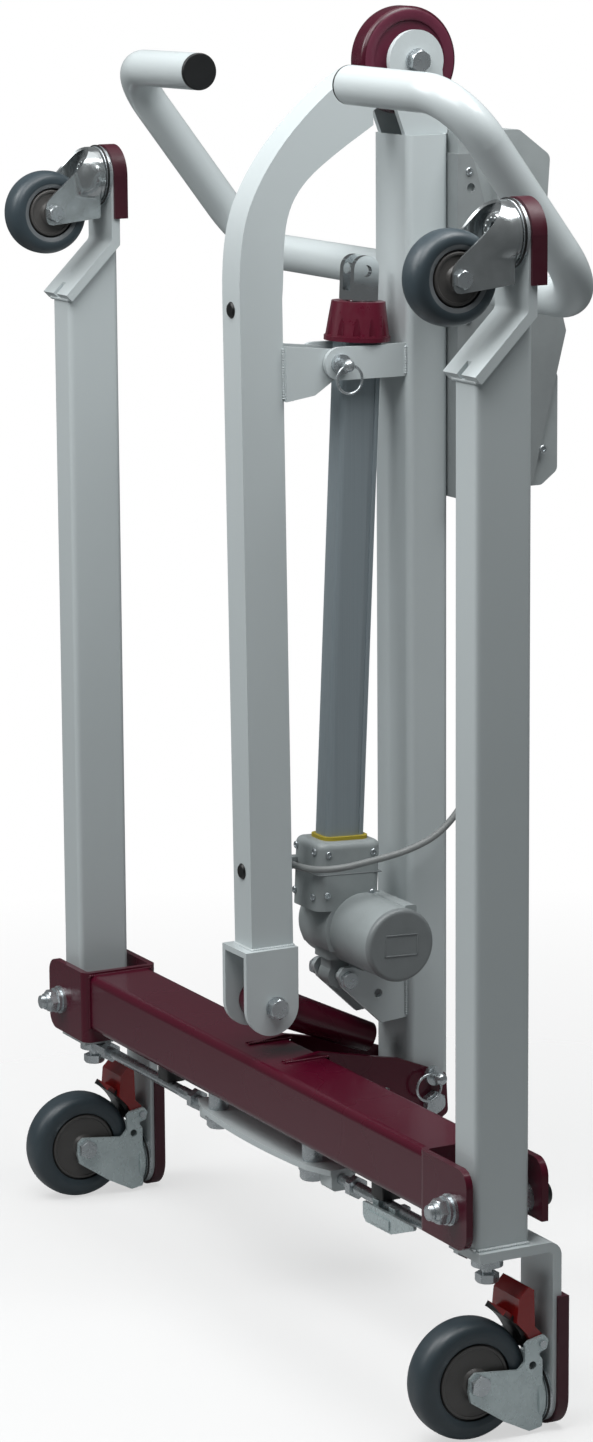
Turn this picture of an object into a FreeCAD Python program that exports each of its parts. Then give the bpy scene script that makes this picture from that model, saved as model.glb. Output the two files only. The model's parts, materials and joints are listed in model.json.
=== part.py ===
import FreeCAD, Part
import math
import os

# Folding sit to stand lift, stored upright on the heels of its two base legs.
# X runs along the cross bar, +Y points to the back (battery side), +Z is up along the folded mast.
# Everything is drawn with the centre plane of the legs at y = 0 and then moved by FRAME_Y,
# so that the origin is the bottom centre of the whole lift.

V = FreeCAD.Vector
X_AXIS = V(1, 0, 0)
Y_AXIS = V(0, 1, 0)
Z_AXIS = V(0, 0, 1)

FRAME_Y = -93.17

# fits
RUN = 0.05
GAP = 0.3

# legs
LEG_X = 366.0
LEG_W = 36.0
LEG_D = 50.0
LEG_WALL = 3.0
LEG_BOTTOM_Z = 160.2
LEG_TOP_Z = 852.0
LEG_PIVOT_Z = 193.0
BOLT_M12_R = 6.0

# cross bar and leg brackets
BAR_H = 54.0
BAR_D = 64.0
BAR_WALL = 4.0
BAR_Z0 = 173.0
BRACKET_T = 6.0
BRACKET_WEB_X = 319.0
BRACKET_END_X = 391.0
BRACKET_Z0 = 162.4
BRACKET_Z1 = 229.4
FLANGE_Y = 37.8

# mast
MAST_W = 60.0
MAST_D = 40.0
MAST_WALL = 2.5
MAST_Y0 = 115.0
MAST_BOTTOM_Z = 158.0
MAST_TOP_Z = 1016.0
MAST_PIVOT_Y = 135.0
MAST_PIVOT_Z = 172.0
MAST_LOCK_Z = 196.0
MAST_PLATE_T = 5.0

# top hinge and stair wheel
TOP_Y = 127.5
TOP_Z = 1077.5
TOP_WHEEL_R = 45.5
TOP_WHEEL_W = 24.0
AXLE_R = 5.0
EAR_IN = 18.0
EAR_OUT = 23.5

# boom
BOOM_PIN_Y = 51.4
BOOM_PIN_Z = 827.0
BOOM_W = 32.0
BOOM_D = 40.0
BOOM_WALL = 2.5
BOOM_BOTTOM_Z = 325.0
BOOM_LEAN = 0.62
PLUG_Z = (875.0, 392.0)
HANGER_Y = -12.5
HANGER_Z = 273.5
HANGER_DROOP = 24.0

# actuator
ACT_Y = 57.0
ACT_Z = 290.0
ACT_LEAN = 2.6
GLAND_Y = 17.5
ACT_TUBE_W = 24.0
ACT_TUBE_D = 38.0
ACT_TUBE_TOP = 843.6
ACT_ROD_R = 9.0

# battery
BATTERY_Z0 = 712.0

# handlebar
GRIP_R = 16.0
GRIP_WALL = 2.0
HANDLE_Z = 897.0
HANDLE_Y = 135.5

# casters
FRONT_WHEEL_R = 37.5
FRONT_RIM_R = 21.0
FRONT_WHEEL_W = 30.0
FRONT_WHEEL_Y = -39.0
FRONT_WHEEL_Z = 932.0
FRONT_SWIVEL_Z = 963.0
FRONT_PLATE_Y = 16.0
REAR_WHEEL_R = 50.0
REAR_RIM_R = 31.0
REAR_WHEEL_W = 32.0
REAR_WHEEL_Y = -23.5
REAR_WHEEL_Z = 50.0
REAR_SWIVEL_Z = 28.0
REAR_PLATE_Y = 42.5
BRAKE_Y = 35.0
BRAKE_Z = 75.0
BRAKE_TRAVEL = 9.0
PLATE_T = 8.0
PLATE_HALF = 25.0
PAD_HALF = 28.0

# spreader linkage
ROD_Z = 146.0
ROD_R = 5.0
ROD_Y = -4.0
CABLE_R = 3.0


def box(x0, x1, y0, y1, z0, z1):
    return Part.makeBox(x1 - x0, y1 - y0, z1 - z0, V(x0, y0, z0))


def cyl(r, p0, p1):
    a = V(*p0)
    d = V(*p1) - a
    return Part.makeCylinder(r, d.Length, a, d)


def ring(r_out, r_in, p0, p1):
    return cyl(r_out, p0, p1).cut(cyl(r_in, p0, p1))


def cone(r0, r1, p0, p1):
    a = V(*p0)
    d = V(*p1) - a
    return Part.makeCone(r0, r1, d.Length, a, d)


def fillet(shape, r, pick):
    edges = [e for e in shape.Edges if pick(e)]
    return shape.makeFillet(r, edges)


def along(axis):
    def pick(e):
        if len(e.Vertexes) != 2:
            return False
        d = e.Vertexes[1].Point - e.Vertexes[0].Point
        return d.Length > 1e-6 and d.normalize().cross(axis).Length < 1e-6
    return pick


def yz_plate(points, x0, x1, corner_r=0.0):
    """Flat plate drawn in the YZ plane and given thickness along X."""
    pts = [V(x0, y, z) for y, z in points]
    face = Part.Face(Part.makePolygon(pts + [pts[0]]))
    plate = face.extrude(V(x1 - x0, 0, 0))
    if corner_r > 0:
        plate = fillet(plate, corner_r, along(X_AXIS))
    return plate


def xz_plate(points, y0, y1, corner_r=0.0):
    """Flat plate drawn in the XZ plane and given thickness along Y."""
    pts = [V(x, y0, z) for x, z in points]
    face = Part.Face(Part.makePolygon(pts + [pts[0]]))
    plate = face.extrude(V(0, y1 - y0, 0))
    if corner_r > 0:
        plate = fillet(plate, corner_r, along(Y_AXIS))
    return plate


def hex_prism(af, p0, p1):
    """Hexagon of width af across flats from p0 to p1."""
    a = V(*p0)
    d = V(*p1) - a
    r = af / math.sqrt(3)
    pts = [V(r * math.cos(math.radians(60 * i)), r * math.sin(math.radians(60 * i)), 0) for i in range(7)]
    body = Part.Face(Part.makePolygon(pts)).extrude(V(0, 0, d.Length))
    body.Placement = FreeCAD.Placement(a, FreeCAD.Rotation(Z_AXIS, d))
    return body


def hex_head(af, p0, p1):
    """Bolt head or nut: a hexagon with its outer corners turned down."""
    a = V(*p0)
    d = V(*p1) - a
    body = hex_prism(af, p0, p1)
    n = V(d)
    n.normalize()
    r = af / math.sqrt(3)
    depth = d.Length + r
    turned = Part.makeCone(0.86 * r + depth, 0.86 * r, depth, V(*p1) - n * depth, n)
    return body.common(turned)


def round_path(points, radii):
    """Wire of straight runs joined by tangent arcs; radii belong to the inner points."""
    pts = [V(*p) for p in points]
    edges = []
    start = pts[0]
    for i in range(1, len(pts) - 1):
        corner = pts[i]
        d_in = (corner - pts[i - 1]).normalize()
        d_out = (pts[i + 1] - corner).normalize()
        turn = math.acos(max(-1.0, min(1.0, d_in.dot(d_out))))
        setback = radii[i - 1] * math.tan(turn / 2)
        a = corner - d_in * setback
        b = corner + d_out * setback
        to_centre = (d_out - d_in).normalize()
        centre = corner + to_centre * (radii[i - 1] / math.cos(turn / 2))
        mid = centre + (corner - centre).normalize() * radii[i - 1]
        edges.append(Part.makeLine(start, a))
        edges.append(Part.Arc(a, mid, b).toShape())
        start = b
    edges.append(Part.makeLine(start, pts[-1]))
    return Part.Wire(edges), (pts[1] - pts[0]).normalize(), pts[0]


def bent_rod(points, radii, r):
    path, direction, start = round_path(points, radii)
    profile = Part.Wire([Part.makeCircle(r, start, direction)])
    return path.makePipeShell([profile], True, False)


def bent_tube(points, radii, r, wall):
    return bent_rod(points, radii, r).cut(bent_rod(points, radii, r - wall))


def mirrored(shape):
    return shape.mirror(V(0, 0, 0), X_AXIS)


def group(shapes):
    return Part.makeCompound(shapes)


def both_sides(shapes):
    return group(shapes + [mirrored(s) for s in shapes])


def tilt(shape, y, z, degrees):
    """Turn about an X axis through (y, z); positive leans the top towards -Y."""
    turned = shape.copy()
    turned.rotate(V(0, y, z), X_AXIS, degrees)
    return turned


def box_tube(w, d, wall, x_mid, y0, z0, z1, r=5.0):
    outer = fillet(box(x_mid - w / 2, x_mid + w / 2, y0, y0 + d, z0, z1), r, along(Z_AXIS))
    inner = fillet(box(x_mid - w / 2 + wall, x_mid + w / 2 - wall, y0 + wall, y0 + d - wall, z0, z1),
                   r - wall * 0.6, along(Z_AXIS))
    return outer.cut(inner)


def lock_nut(x, y, z, side, af=19.0):
    """Flanged lock nut with its seat at y and its round collar pointing along side * Y."""
    flange = cyl(af * 0.62, (x, y, z), (x, y + side * 1.5, z))
    body = hex_head(af, (x, y + side * 1.5, z), (x, y + side * 9, z))
    collar = cone(af * 0.45, af * 0.40, (x, y + side * 8.5, z), (x, y + side * 12, z))
    return flange.fuse(body).fuse(collar)


# ---------------------------------------------------------------- base frame

def make_crossbar():
    z1 = BAR_Z0 + BAR_H
    half = BRACKET_WEB_X - BRACKET_T
    outer = fillet(box(-half, half, -BAR_D / 2, BAR_D / 2, BAR_Z0, z1), 7.0, along(X_AXIS))
    inner = fillet(box(-half, half, -BAR_D / 2 + BAR_WALL, BAR_D / 2 - BAR_WALL,
                       BAR_Z0 + BAR_WALL, z1 - BAR_WALL), 4.5, along(X_AXIS))
    return outer.cut(inner)


def make_leg_bracket():
    x0 = BRACKET_WEB_X - BRACKET_T
    y1 = FLANGE_Y
    outer = fillet(box(x0, BRACKET_END_X, -y1, y1, BRACKET_Z0, BRACKET_Z1), 9.0,
                   lambda e: along(Z_AXIS)(e) and e.CenterOfMass.x < x0 + 1)
    inner = fillet(box(x0 + BRACKET_T, BRACKET_END_X + 5, -y1 + BRACKET_T, y1 - BRACKET_T,
                       BRACKET_Z0 - 1, BRACKET_Z1 + 1), 3.0,
                   lambda e: along(Z_AXIS)(e) and e.CenterOfMass.x < x0 + BRACKET_T + 1)
    channel = outer.cut(inner)
    channel = fillet(channel, 14.0, lambda e: along(Y_AXIS)(e) and e.CenterOfMass.x > BRACKET_END_X - 1
                     and e.BoundBox.YLength > BRACKET_T - 0.5)
    heel_relief = box(x0 + BRACKET_T + 3, BRACKET_END_X + 5, y1 - BRACKET_T - 1, y1 + 1,
                      BRACKET_Z0 - 1, BRACKET_Z0 + 16)
    channel = channel.cut(heel_relief)
    hole = cyl(BOLT_M12_R + RUN, (LEG_X, -y1 - 5, LEG_PIVOT_Z), (LEG_X, y1 + 5, LEG_PIVOT_Z))
    return channel.cut(hole)


def make_leg_bolt():
    """Pivot bolt along Y with its washers, lock nut in front and round head behind."""
    y1 = FLANGE_Y
    z = LEG_PIVOT_Z
    shank = cyl(BOLT_M12_R, (LEG_X, -y1 - 20, z), (LEG_X, y1 + 2, z))
    tip = cone(BOLT_M12_R, BOLT_M12_R - 1.2, (LEG_X, -y1 - 20, z), (LEG_X, -y1 - 21.2, z))
    head = cone(12.5, 9.5, (LEG_X, y1 + 2, z), (LEG_X, y1 + 14, z))
    head = fillet(head, 2.5, lambda e: abs(e.CenterOfMass.y - (y1 + 14)) < 0.1)
    washer = ring(13.0, BOLT_M12_R, (LEG_X, -y1 - 2.5, z), (LEG_X, -y1, z))
    lock_washer = ring(11.0, BOLT_M12_R, (LEG_X, -y1 - 5.0, z), (LEG_X, -y1 - 2.5, z))
    nut = lock_nut(LEG_X, -y1 - 5.0, z, -1).cut(shank)
    back_washer = ring(13.0, BOLT_M12_R, (LEG_X, y1, z), (LEG_X, y1 + 2, z))
    bolt = shank.fuse(head).fuse(tip)
    return [bolt, washer, lock_washer, nut, back_washer]


def make_leg_spacers():
    """Washers that fill the space between leg and bracket flanges."""
    inner = FLANGE_Y - BRACKET_T
    leg_face = LEG_D / 2 + 0.05
    z = LEG_PIVOT_Z
    front = ring(13.0, BOLT_M12_R, (LEG_X, -inner, z), (LEG_X, -leg_face, z))
    back = ring(13.0, BOLT_M12_R, (LEG_X, leg_face, z), (LEG_X, inner, z))
    return [front, back]


def make_mast_bracket():
    """Two side plates welded over the back of the cross bar, joined by a floor plate."""
    top_z = BAR_Z0 + BAR_H
    x_in = MAST_W / 2 + 1.0
    profile = [(-14, top_z), (24, top_z + 5), (103, 215), (149, 196), (151, 160), (138, 151), (33, 156),
               (32, top_z)]
    right = yz_plate(profile, x_in, x_in + MAST_PLATE_T)
    right = fillet(right, 5.0, lambda e: along(X_AXIS)(e) and e.CenterOfMass.y > 90)
    y0 = BAR_D / 2
    floor = box(-x_in, x_in, y0, 84, 160, 165)
    back = box(-x_in, x_in, y0, y0 + 5, 165, 215)
    plates = right.fuse(mirrored(right)).fuse(floor).fuse(back)
    pivot = cyl(6.0 + RUN, (-60, MAST_PIVOT_Y, MAST_PIVOT_Z), (60, MAST_PIVOT_Y, MAST_PIVOT_Z))
    lock = cyl(4.0 + RUN, (x_in - 1, MAST_PIVOT_Y, MAST_LOCK_Z), (60, MAST_PIVOT_Y, MAST_LOCK_Z))
    lift_hole = cyl(5.0, (-60, 88, 186), (60, 88, 186))
    return plates.cut(pivot).cut(lock).cut(lift_hole).removeSplitter()


def make_mast_pivot_bolt():
    y = MAST_PIVOT_Y
    z = MAST_PIVOT_Z
    x_out = MAST_W / 2 + 1.0 + MAST_PLATE_T
    shank = cyl(6.0, (-x_out - 10, y, z), (x_out, y, z))
    head = hex_head(18.0, (x_out, y, z), (x_out + 7.5, y, z))
    washer = ring(12.0, 6.0, (-x_out - 2.5, y, z), (-x_out, y, z))
    nut = hex_head(18.0, (-x_out - 2.5, y, z), (-x_out - 12.5, y, z)).cut(shank)
    return [shank.fuse(head), washer, nut]


def make_spreader_plate():
    """Bowed steel guide under the cross bar with a bored block at each end for the tie rods."""
    z0 = 150.0
    t = 5.0
    end = 127.0
    front_y = [-14, -25, -31]
    corner = [V(-end, 9, z0), V(-end, front_y[0], z0), V(-98, front_y[1], z0), V(0, front_y[2], z0)]
    right = [V(-p.x, p.y, p.z) for p in corner]
    bow = Part.Arc(corner[2], corner[3], right[2]).toShape()
    edges = [Part.makeLine(corner[0], corner[1]), Part.makeLine(corner[1], corner[2]), bow,
             Part.makeLine(right[2], right[1]), Part.makeLine(right[1], right[0]),
             Part.makeLine(right[0], corner[0])]
    plate = Part.Face(Part.Wire(edges)).extrude(V(0, 0, t))
    body = plate.fuse(box(-104, 104, 5, 9, z0 - 8, z0))
    for side in (-1, 1):
        x_mid = side * 114.0
        block = box(x_mid - 10, x_mid + 10, ROD_Y - 10, 9, z0 - 14, z0)
        block = fillet(block, 4.0, lambda e: along(X_AXIS)(e) and e.CenterOfMass.z < z0 - 5)
        body = body.fuse(block)
    for side in (-1, 1):
        x_mid = side * 114.0
        body = body.cut(cyl(ROD_R + RUN, (x_mid - 40, ROD_Y, ROD_Z), (x_mid + 40, ROD_Y, ROD_Z)))
        notch = box(-12, 12, ROD_Y - 11, ROD_Y + 11, z0 - 20, z0 + 10)
        notch.translate(V(side * 136.3, 0, 0))
        body = body.cut(notch)
        body = body.cut(cyl(5.0 + RUN, (side * 88, -13, 120), (side * 88, -13, 160)))
    return body


def make_spreader_hangers():
    """Two bolts that hang the guide plate from the cross bar, each with its spacer tube."""
    parts = []
    for side in (-1, 1):
        x = side * 88.0
        y = -13.0
        spacer = ring(9.0, 5.0, (x, y, 155.0), (x, y, BAR_Z0))
        shank = cyl(5.0, (x, y, 147.0), (x, y, BAR_Z0))
        head = hex_head(19.0, (x, y, 147.0), (x, y, 138.0))
        washer = ring(12.0, 5.0, (x, y, 147.0), (x, y, 150.0))
        parts += [spacer, shank.fuse(head), washer]
    return parts


# ---------------------------------------------------------------- spreader tie rods

def make_tie_rod():
    """Right-hand tie rod from the guide plate to the heel of the leg."""
    z = ROD_Z
    y = ROD_Y
    end_x = LEG_X - 14.0
    rod = cyl(ROD_R, (117, y, z), (end_x, y, z))
    eye = ring(13.0, 7.6, (LEG_X, y, z - 4.5), (LEG_X, y, z + 3))
    neck = box(LEG_X - 32, LEG_X - 8, y - 8, y + 8, z - 4.5, z + 4.5)
    neck = fillet(neck, 3.5, lambda e: along(X_AXIS)(e) and e.CenterOfMass.z < z)
    neck = neck.cut(cyl(11.0, (LEG_X, y, z - 6), (LEG_X, y, z + 6)))
    jam_nut = hex_prism(16.0, (LEG_X - 40, y, z), (LEG_X - 32, y, z))
    end_nut = hex_prism(17.0, (145, y, z), (153, y, z))
    return rod.fuse(eye).fuse(neck).fuse(jam_nut).fuse(end_nut)


def make_foot_pedal():
    """Folded steel channel welded under the right tie rod, kicked sideways to spread the legs."""
    z = ROD_Z
    y = ROD_Y
    x0 = 184.0
    x1 = 272.0
    front = xz_plate([(x0, 146), (x0, 134), (x0 + 5, 129), (x0 + 48, 130), (x1 - 4, 143), (x1, 147)],
                     y - 13, y - 10, 1.5)
    floor = box(x0 + 4, x0 + 50, y - 10, y + 7, 130.5, 133.5)
    body = front.fuse(floor)
    for x in (x0 + 8, x0 + 36):
        lug = box(x, x + 10, y - 8, y + 7, 133.5, z + 4)
        body = body.fuse(lug.cut(cyl(ROD_R, (x - 2, y, z), (x + 12, y, z))))
    tread = fillet(box(x0 + 10, x0 + 46, y - 14.2, y - 13, 132.5, 141), 0.55, along(Y_AXIS))
    return body.fuse(tread)


# ---------------------------------------------------------------- legs

def make_leg_tube():
    x0 = LEG_X - LEG_W / 2
    x1 = LEG_X + LEG_W / 2
    y0 = -LEG_D / 2
    y1 = LEG_D / 2
    top = LEG_TOP_Z + LEG_D
    outer = fillet(box(x0, x1, y0, y1, LEG_BOTTOM_Z, top), 5.0, along(Z_AXIS))
    inner = fillet(box(x0 + LEG_WALL, x1 - LEG_WALL, y0 + LEG_WALL, y1 - LEG_WALL, LEG_BOTTOM_Z, top),
                   3.0, along(Z_AXIS))
    tube = outer.cut(inner)
    # the top is cut on a slope that rises towards the back
    slope = yz_plate([(y0 - 5, LEG_TOP_Z - 5), (y0 - 5, top + 30), (y1 + 25, top + 30), (y1 + 5, top + 5)],
                     x0 - 5, x1 + 5)
    tube = tube.cut(slope)
    sleeve = cyl(10.0, (LEG_X, y0, LEG_PIVOT_Z), (LEG_X, y1, LEG_PIVOT_Z))
    bore = cyl(BOLT_M12_R + RUN, (LEG_X, y0 - 2, LEG_PIVOT_Z), (LEG_X, y1 + 2, LEG_PIVOT_Z))
    return tube.fuse(sleeve).cut(bore)


def make_front_bracket():
    """Bent plate: slope over the end of the leg, then upright with a round top for the caster."""
    t = PLATE_T
    y0 = -LEG_D / 2
    rise = FRONT_PLATE_Y - y0
    z_bend = LEG_TOP_Z + rise
    d = t / math.sqrt(2)
    y_back = FRONT_PLATE_Y + t
    z_low = LEG_TOP_Z + (y_back - y0)
    profile = [(y0 - d, LEG_TOP_Z + d), (y0, LEG_TOP_Z), (y_back, z_low),
               (y_back, FRONT_SWIVEL_Z + PLATE_HALF), (FRONT_PLATE_Y, FRONT_SWIVEL_Z + PLATE_HALF),
               (FRONT_PLATE_Y, z_bend + 2 * d)]
    plate = yz_plate(profile, LEG_X - PLATE_HALF, LEG_X + PLATE_HALF)
    plate = fillet(plate, 7.0, lambda e: along(X_AXIS)(e) and abs(e.CenterOfMass.y - FRONT_PLATE_Y) < 0.1
                   and e.CenterOfMass.z < FRONT_SWIVEL_Z - 10)
    plate = fillet(plate, PLATE_HALF - 0.2, lambda e: along(Y_AXIS)(e)
                   and e.CenterOfMass.z > FRONT_SWIVEL_Z + PLATE_HALF - 1)
    slot = box(LEG_X - 3.5, LEG_X + 3.5, y0 - 10, y0 + 4, LEG_TOP_Z - 2, LEG_TOP_Z + 16)
    king = cyl(5.0, (LEG_X, 0, FRONT_SWIVEL_Z), (LEG_X, 40, FRONT_SWIVEL_Z))
    return plate.cut(slot).cut(king)


def make_front_pad():
    """Rubber bumper round the back of the upright plate."""
    y0 = FRONT_PLATE_Y + 2.0
    y1 = FRONT_PLATE_Y + PLATE_T + 7.0
    z0 = FRONT_SWIVEL_Z - 38.0
    pad = box(LEG_X - PAD_HALF, LEG_X + PAD_HALF, y0, y1, z0, FRONT_SWIVEL_Z + PAD_HALF)
    pad = fillet(pad, PAD_HALF - 0.2, lambda e: along(Y_AXIS)(e) and e.CenterOfMass.z > FRONT_SWIVEL_Z)
    plate = box(LEG_X - PLATE_HALF, LEG_X + PLATE_HALF, y0 - 1, FRONT_PLATE_Y + PLATE_T, z0 - 1,
                FRONT_SWIVEL_Z + PLATE_HALF)
    plate = fillet(plate, PLATE_HALF - 0.2, lambda e: along(Y_AXIS)(e) and e.CenterOfMass.z > FRONT_SWIVEL_Z)
    return pad.cut(plate)


def make_rear_bracket():
    """Heel plate: flat under the leg, then down the back to the caster, with a round bottom."""
    t = PLATE_T
    z_top = LEG_BOTTOM_Z - 0.2
    y_back = REAR_PLATE_Y + t
    z_end = REAR_SWIVEL_Z - PLATE_HALF
    profile = [(-LEG_D / 2, z_top), (-LEG_D / 2, z_top - t), (REAR_PLATE_Y, z_top - t),
               (REAR_PLATE_Y, z_end), (y_back, z_end), (y_back, z_top)]
    plate = yz_plate(profile, LEG_X - PLATE_HALF, LEG_X + PLATE_HALF)
    plate = fillet(plate, 12.0, lambda e: along(X_AXIS)(e) and abs(e.CenterOfMass.y - y_back) < 0.1
                   and e.CenterOfMass.z > 100)
    plate = fillet(plate, 4.0, lambda e: along(X_AXIS)(e) and abs(e.CenterOfMass.y - REAR_PLATE_Y) < 0.1
                   and e.CenterOfMass.z > 100)
    plate = fillet(plate, PLATE_HALF - 0.2, lambda e: along(Y_AXIS)(e) and e.CenterOfMass.z < z_end + 1)
    king = cyl(5.0, (LEG_X, 30, REAR_SWIVEL_Z), (LEG_X, 60, REAR_SWIVEL_Z))
    heel = cyl(5.0, (LEG_X, ROD_Y, 140), (LEG_X, ROD_Y, 170))
    return plate.cut(king).cut(heel)


def make_rear_pad():
    y0 = REAR_PLATE_Y + 3.5
    y1 = REAR_PLATE_Y + PLATE_T + 5.5
    z1 = 114.0
    pad = box(LEG_X - PAD_HALF, LEG_X + PAD_HALF, y0, y1, REAR_SWIVEL_Z - PAD_HALF, z1)
    pad = fillet(pad, PAD_HALF - 0.2, lambda e: along(Y_AXIS)(e) and e.CenterOfMass.z < REAR_SWIVEL_Z)
    plate = box(LEG_X - PLATE_HALF, LEG_X + PLATE_HALF, y0 - 1, REAR_PLATE_Y + PLATE_T,
                REAR_SWIVEL_Z - PLATE_HALF, z1 + 1)
    plate = fillet(plate, PLATE_HALF - 0.2, lambda e: along(Y_AXIS)(e) and e.CenterOfMass.z < REAR_SWIVEL_Z)
    return pad.cut(plate)


def make_heel_bolt():
    """Bolt under the heel plate that the tie rod eye swings round."""
    shank = cyl(5.0, (LEG_X, ROD_Y, 135), (LEG_X, ROD_Y, 158))
    head = hex_head(17.0, (LEG_X, ROD_Y, 135), (LEG_X, ROD_Y, 127.5))
    return shank.fuse(head)


def make_swivel(swivel_z, plate_y, ring_r, reach):
    """Fixed half of a caster swivel: upper race and king pin, on the -Y side of the plate."""
    race = ring(ring_r, 4.9, (LEG_X, plate_y - 4.5, swivel_z), (LEG_X, plate_y, swivel_z))
    race = fillet(race, 1.5, lambda e: abs(e.CenterOfMass.y - (plate_y - 4.5)) < 0.1
                  and e.BoundBox.XLength > 20)
    pin = cyl(4.9, (LEG_X, plate_y - reach, swivel_z), (LEG_X, plate_y + PLATE_T, swivel_z))
    head = cyl(8.0, (LEG_X, plate_y - reach - 2.5, swivel_z), (LEG_X, plate_y - reach, swivel_z))
    return race.fuse(pin).fuse(head)


def make_front_fork():
    y_top = FRONT_PLATE_Y - 4.5 - GAP
    z = FRONT_SWIVEL_Z
    half = FRONT_WHEEL_W / 2 + 2.0
    t = 2.8
    rim = ring(26.0, 4.95, (LEG_X, y_top - 6.5, z), (LEG_X, y_top, z))
    rim = fillet(rim, 2.0, lambda e: e.BoundBox.XLength > 40)
    hollow = cyl(20.0, (LEG_X, y_top - 2.5, z), (LEG_X, y_top + 1, z))
    rim = rim.cut(hollow)
    y_a = FRONT_WHEEL_Y
    z_a = FRONT_WHEEL_Z
    side = [(y_top - 4, z - 42), (y_top - 4, z + 14), (y_top - 11, z + 23), (y_top - 21, z + 20),
            (y_a - 8, z_a + 12), (y_a - 11, z_a - 2), (y_a - 6, z_a - 11)]
    cheek = yz_plate(side, LEG_X + half, LEG_X + half + t)
    cheek = fillet(cheek, 5.0, lambda e: along(X_AXIS)(e) and e.CenterOfMass.y < y_top - 15)
    bridge = box(LEG_X - half - 0.1, LEG_X + half + 0.1, y_top - 6.5, y_top - 3.5, z - 22, z + 18)
    bridge = bridge.cut(cyl(4.95, (LEG_X, -20, z), (LEG_X, 40, z)))
    other = cheek.copy()
    other.translate(V(-2 * half - t, 0, 0))
    fork = rim.fuse(cheek).fuse(other).fuse(bridge)
    return fork.cut(cyl(4.0, (LEG_X - 40, y_a, z_a), (LEG_X + 40, y_a, z_a)))


def make_rear_fork():
    y_top = REAR_PLATE_Y - 4.5 - GAP
    z = REAR_SWIVEL_Z
    half = REAR_WHEEL_W / 2 + 2.5
    t = 3.0
    rim = ring(25.0, 4.95, (LEG_X, y_top - 6.5, z), (LEG_X, y_top, z))
    rim = fillet(rim, 2.0, lambda e: e.BoundBox.XLength > 40)
    rim = rim.cut(cyl(19.0, (LEG_X, y_top - 2.5, z), (LEG_X, y_top + 1, z)))
    side = [(-32, 56), (-27, 60.5), (13, 56), (19, 62), (19, 76), (22, 79), (37, 82), (41, 77), (39, 70),
            (31, 67.5), (y_top - 2.5, 62), (y_top - 2.5, 5), (23, 3), (0, 15), (-31, 36), (-33, 45)]
    cheek = yz_plate(side, LEG_X + half, LEG_X + half + t)
    cheek = fillet(cheek, 2.0, along(X_AXIS))
    bridge = box(LEG_X - half - 0.1, LEG_X + half + 0.1, y_top - 5.5, y_top - 2.5, z - 18, 60)
    bridge = bridge.cut(cyl(4.95, (LEG_X, -20, z), (LEG_X, 60, z)))
    other = cheek.copy()
    other.translate(V(-2 * half - t, 0, 0))
    fork = rim.fuse(cheek).fuse(other).fuse(bridge)
    fork = fork.cut(cyl(5.0, (LEG_X - 40, REAR_WHEEL_Y, REAR_WHEEL_Z),
                        (LEG_X + 40, REAR_WHEEL_Y, REAR_WHEEL_Z)))
    fork = fork.cut(cyl(3.5, (LEG_X - 40, 26, 58), (LEG_X + 40, 26, 58)))
    return fork.cut(cyl(3.0, (LEG_X - 40, BRAKE_Y, BRAKE_Z), (LEG_X + 40, BRAKE_Y, BRAKE_Z)))


def make_axle(half, y, z, r, af):
    """Wheel axle bolt along X with its nut."""
    shank = cyl(r, (LEG_X - half - 4, y, z), (LEG_X + half, y, z))
    head = hex_head(af, (LEG_X + half, y, z), (LEG_X + half + 4.5, y, z))
    nut = hex_head(af, (LEG_X - half, y, z), (LEG_X - half - 6.0, y, z)).cut(shank)
    return [shank.fuse(head), nut]


def make_hub(width, rim_r, bore_r, y, z):
    """Moulded wheel centre with a dished face and a raised boss."""
    w = width / 2
    core = cyl(rim_r, (LEG_X - w + 1.5, y, z), (LEG_X + w - 1.5, y, z))
    boss = cyl(bore_r + 5.0, (LEG_X - w - 1.2, y, z), (LEG_X + w + 1.2, y, z))
    for side in (-1, 1):
        face = LEG_X + side * (w - 1.5)
        dish = ring(rim_r - 3.0, bore_r + 5.0, (face - side * 3.0, y, z), (face + side * 2, y, z))
        core = core.cut(dish)
    return core.fuse(boss).cut(cyl(bore_r, (LEG_X - w - 5, y, z), (LEG_X + w + 5, y, z)))


def make_tyre(width, r, rim_r, y, z):
    """Soft tyre with a rounded tread."""
    w = width / 2
    body = ring(r, rim_r, (LEG_X - w, y, z), (LEG_X + w, y, z))
    return fillet(body, min(7.0, w * 0.45), lambda e: e.BoundBox.ZLength > 2 * r - 1)


def make_brake_shoe():
    """Curved shoe drawn in contact with the tyre, then lifted off it by the travel of the lever."""
    x0 = LEG_X - 14.3
    x1 = LEG_X + 14.3
    r_in = REAR_WHEEL_R + 1.2
    inner = cyl(r_in, (x0 - 5, REAR_WHEEL_Y, REAR_WHEEL_Z), (x1 + 5, REAR_WHEEL_Y, REAR_WHEEL_Z))
    sector = yz_plate([(REAR_WHEEL_Y, REAR_WHEEL_Z), (10, 120), (60, 120), (60, 82)], x0, x1)
    shoe = cyl(r_in + 5, (x0, REAR_WHEEL_Y, REAR_WHEEL_Z), (x1, REAR_WHEEL_Y, REAR_WHEEL_Z)).common(sector)
    web = yz_plate([(8, 86), (10, 96), (24, 96), (29, 88), (30, 78), (22, 76)], x0, x1)
    return tilt(shoe.fuse(web).cut(inner), BRAKE_Y, BRAKE_Z, -BRAKE_TRAVEL)


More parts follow.
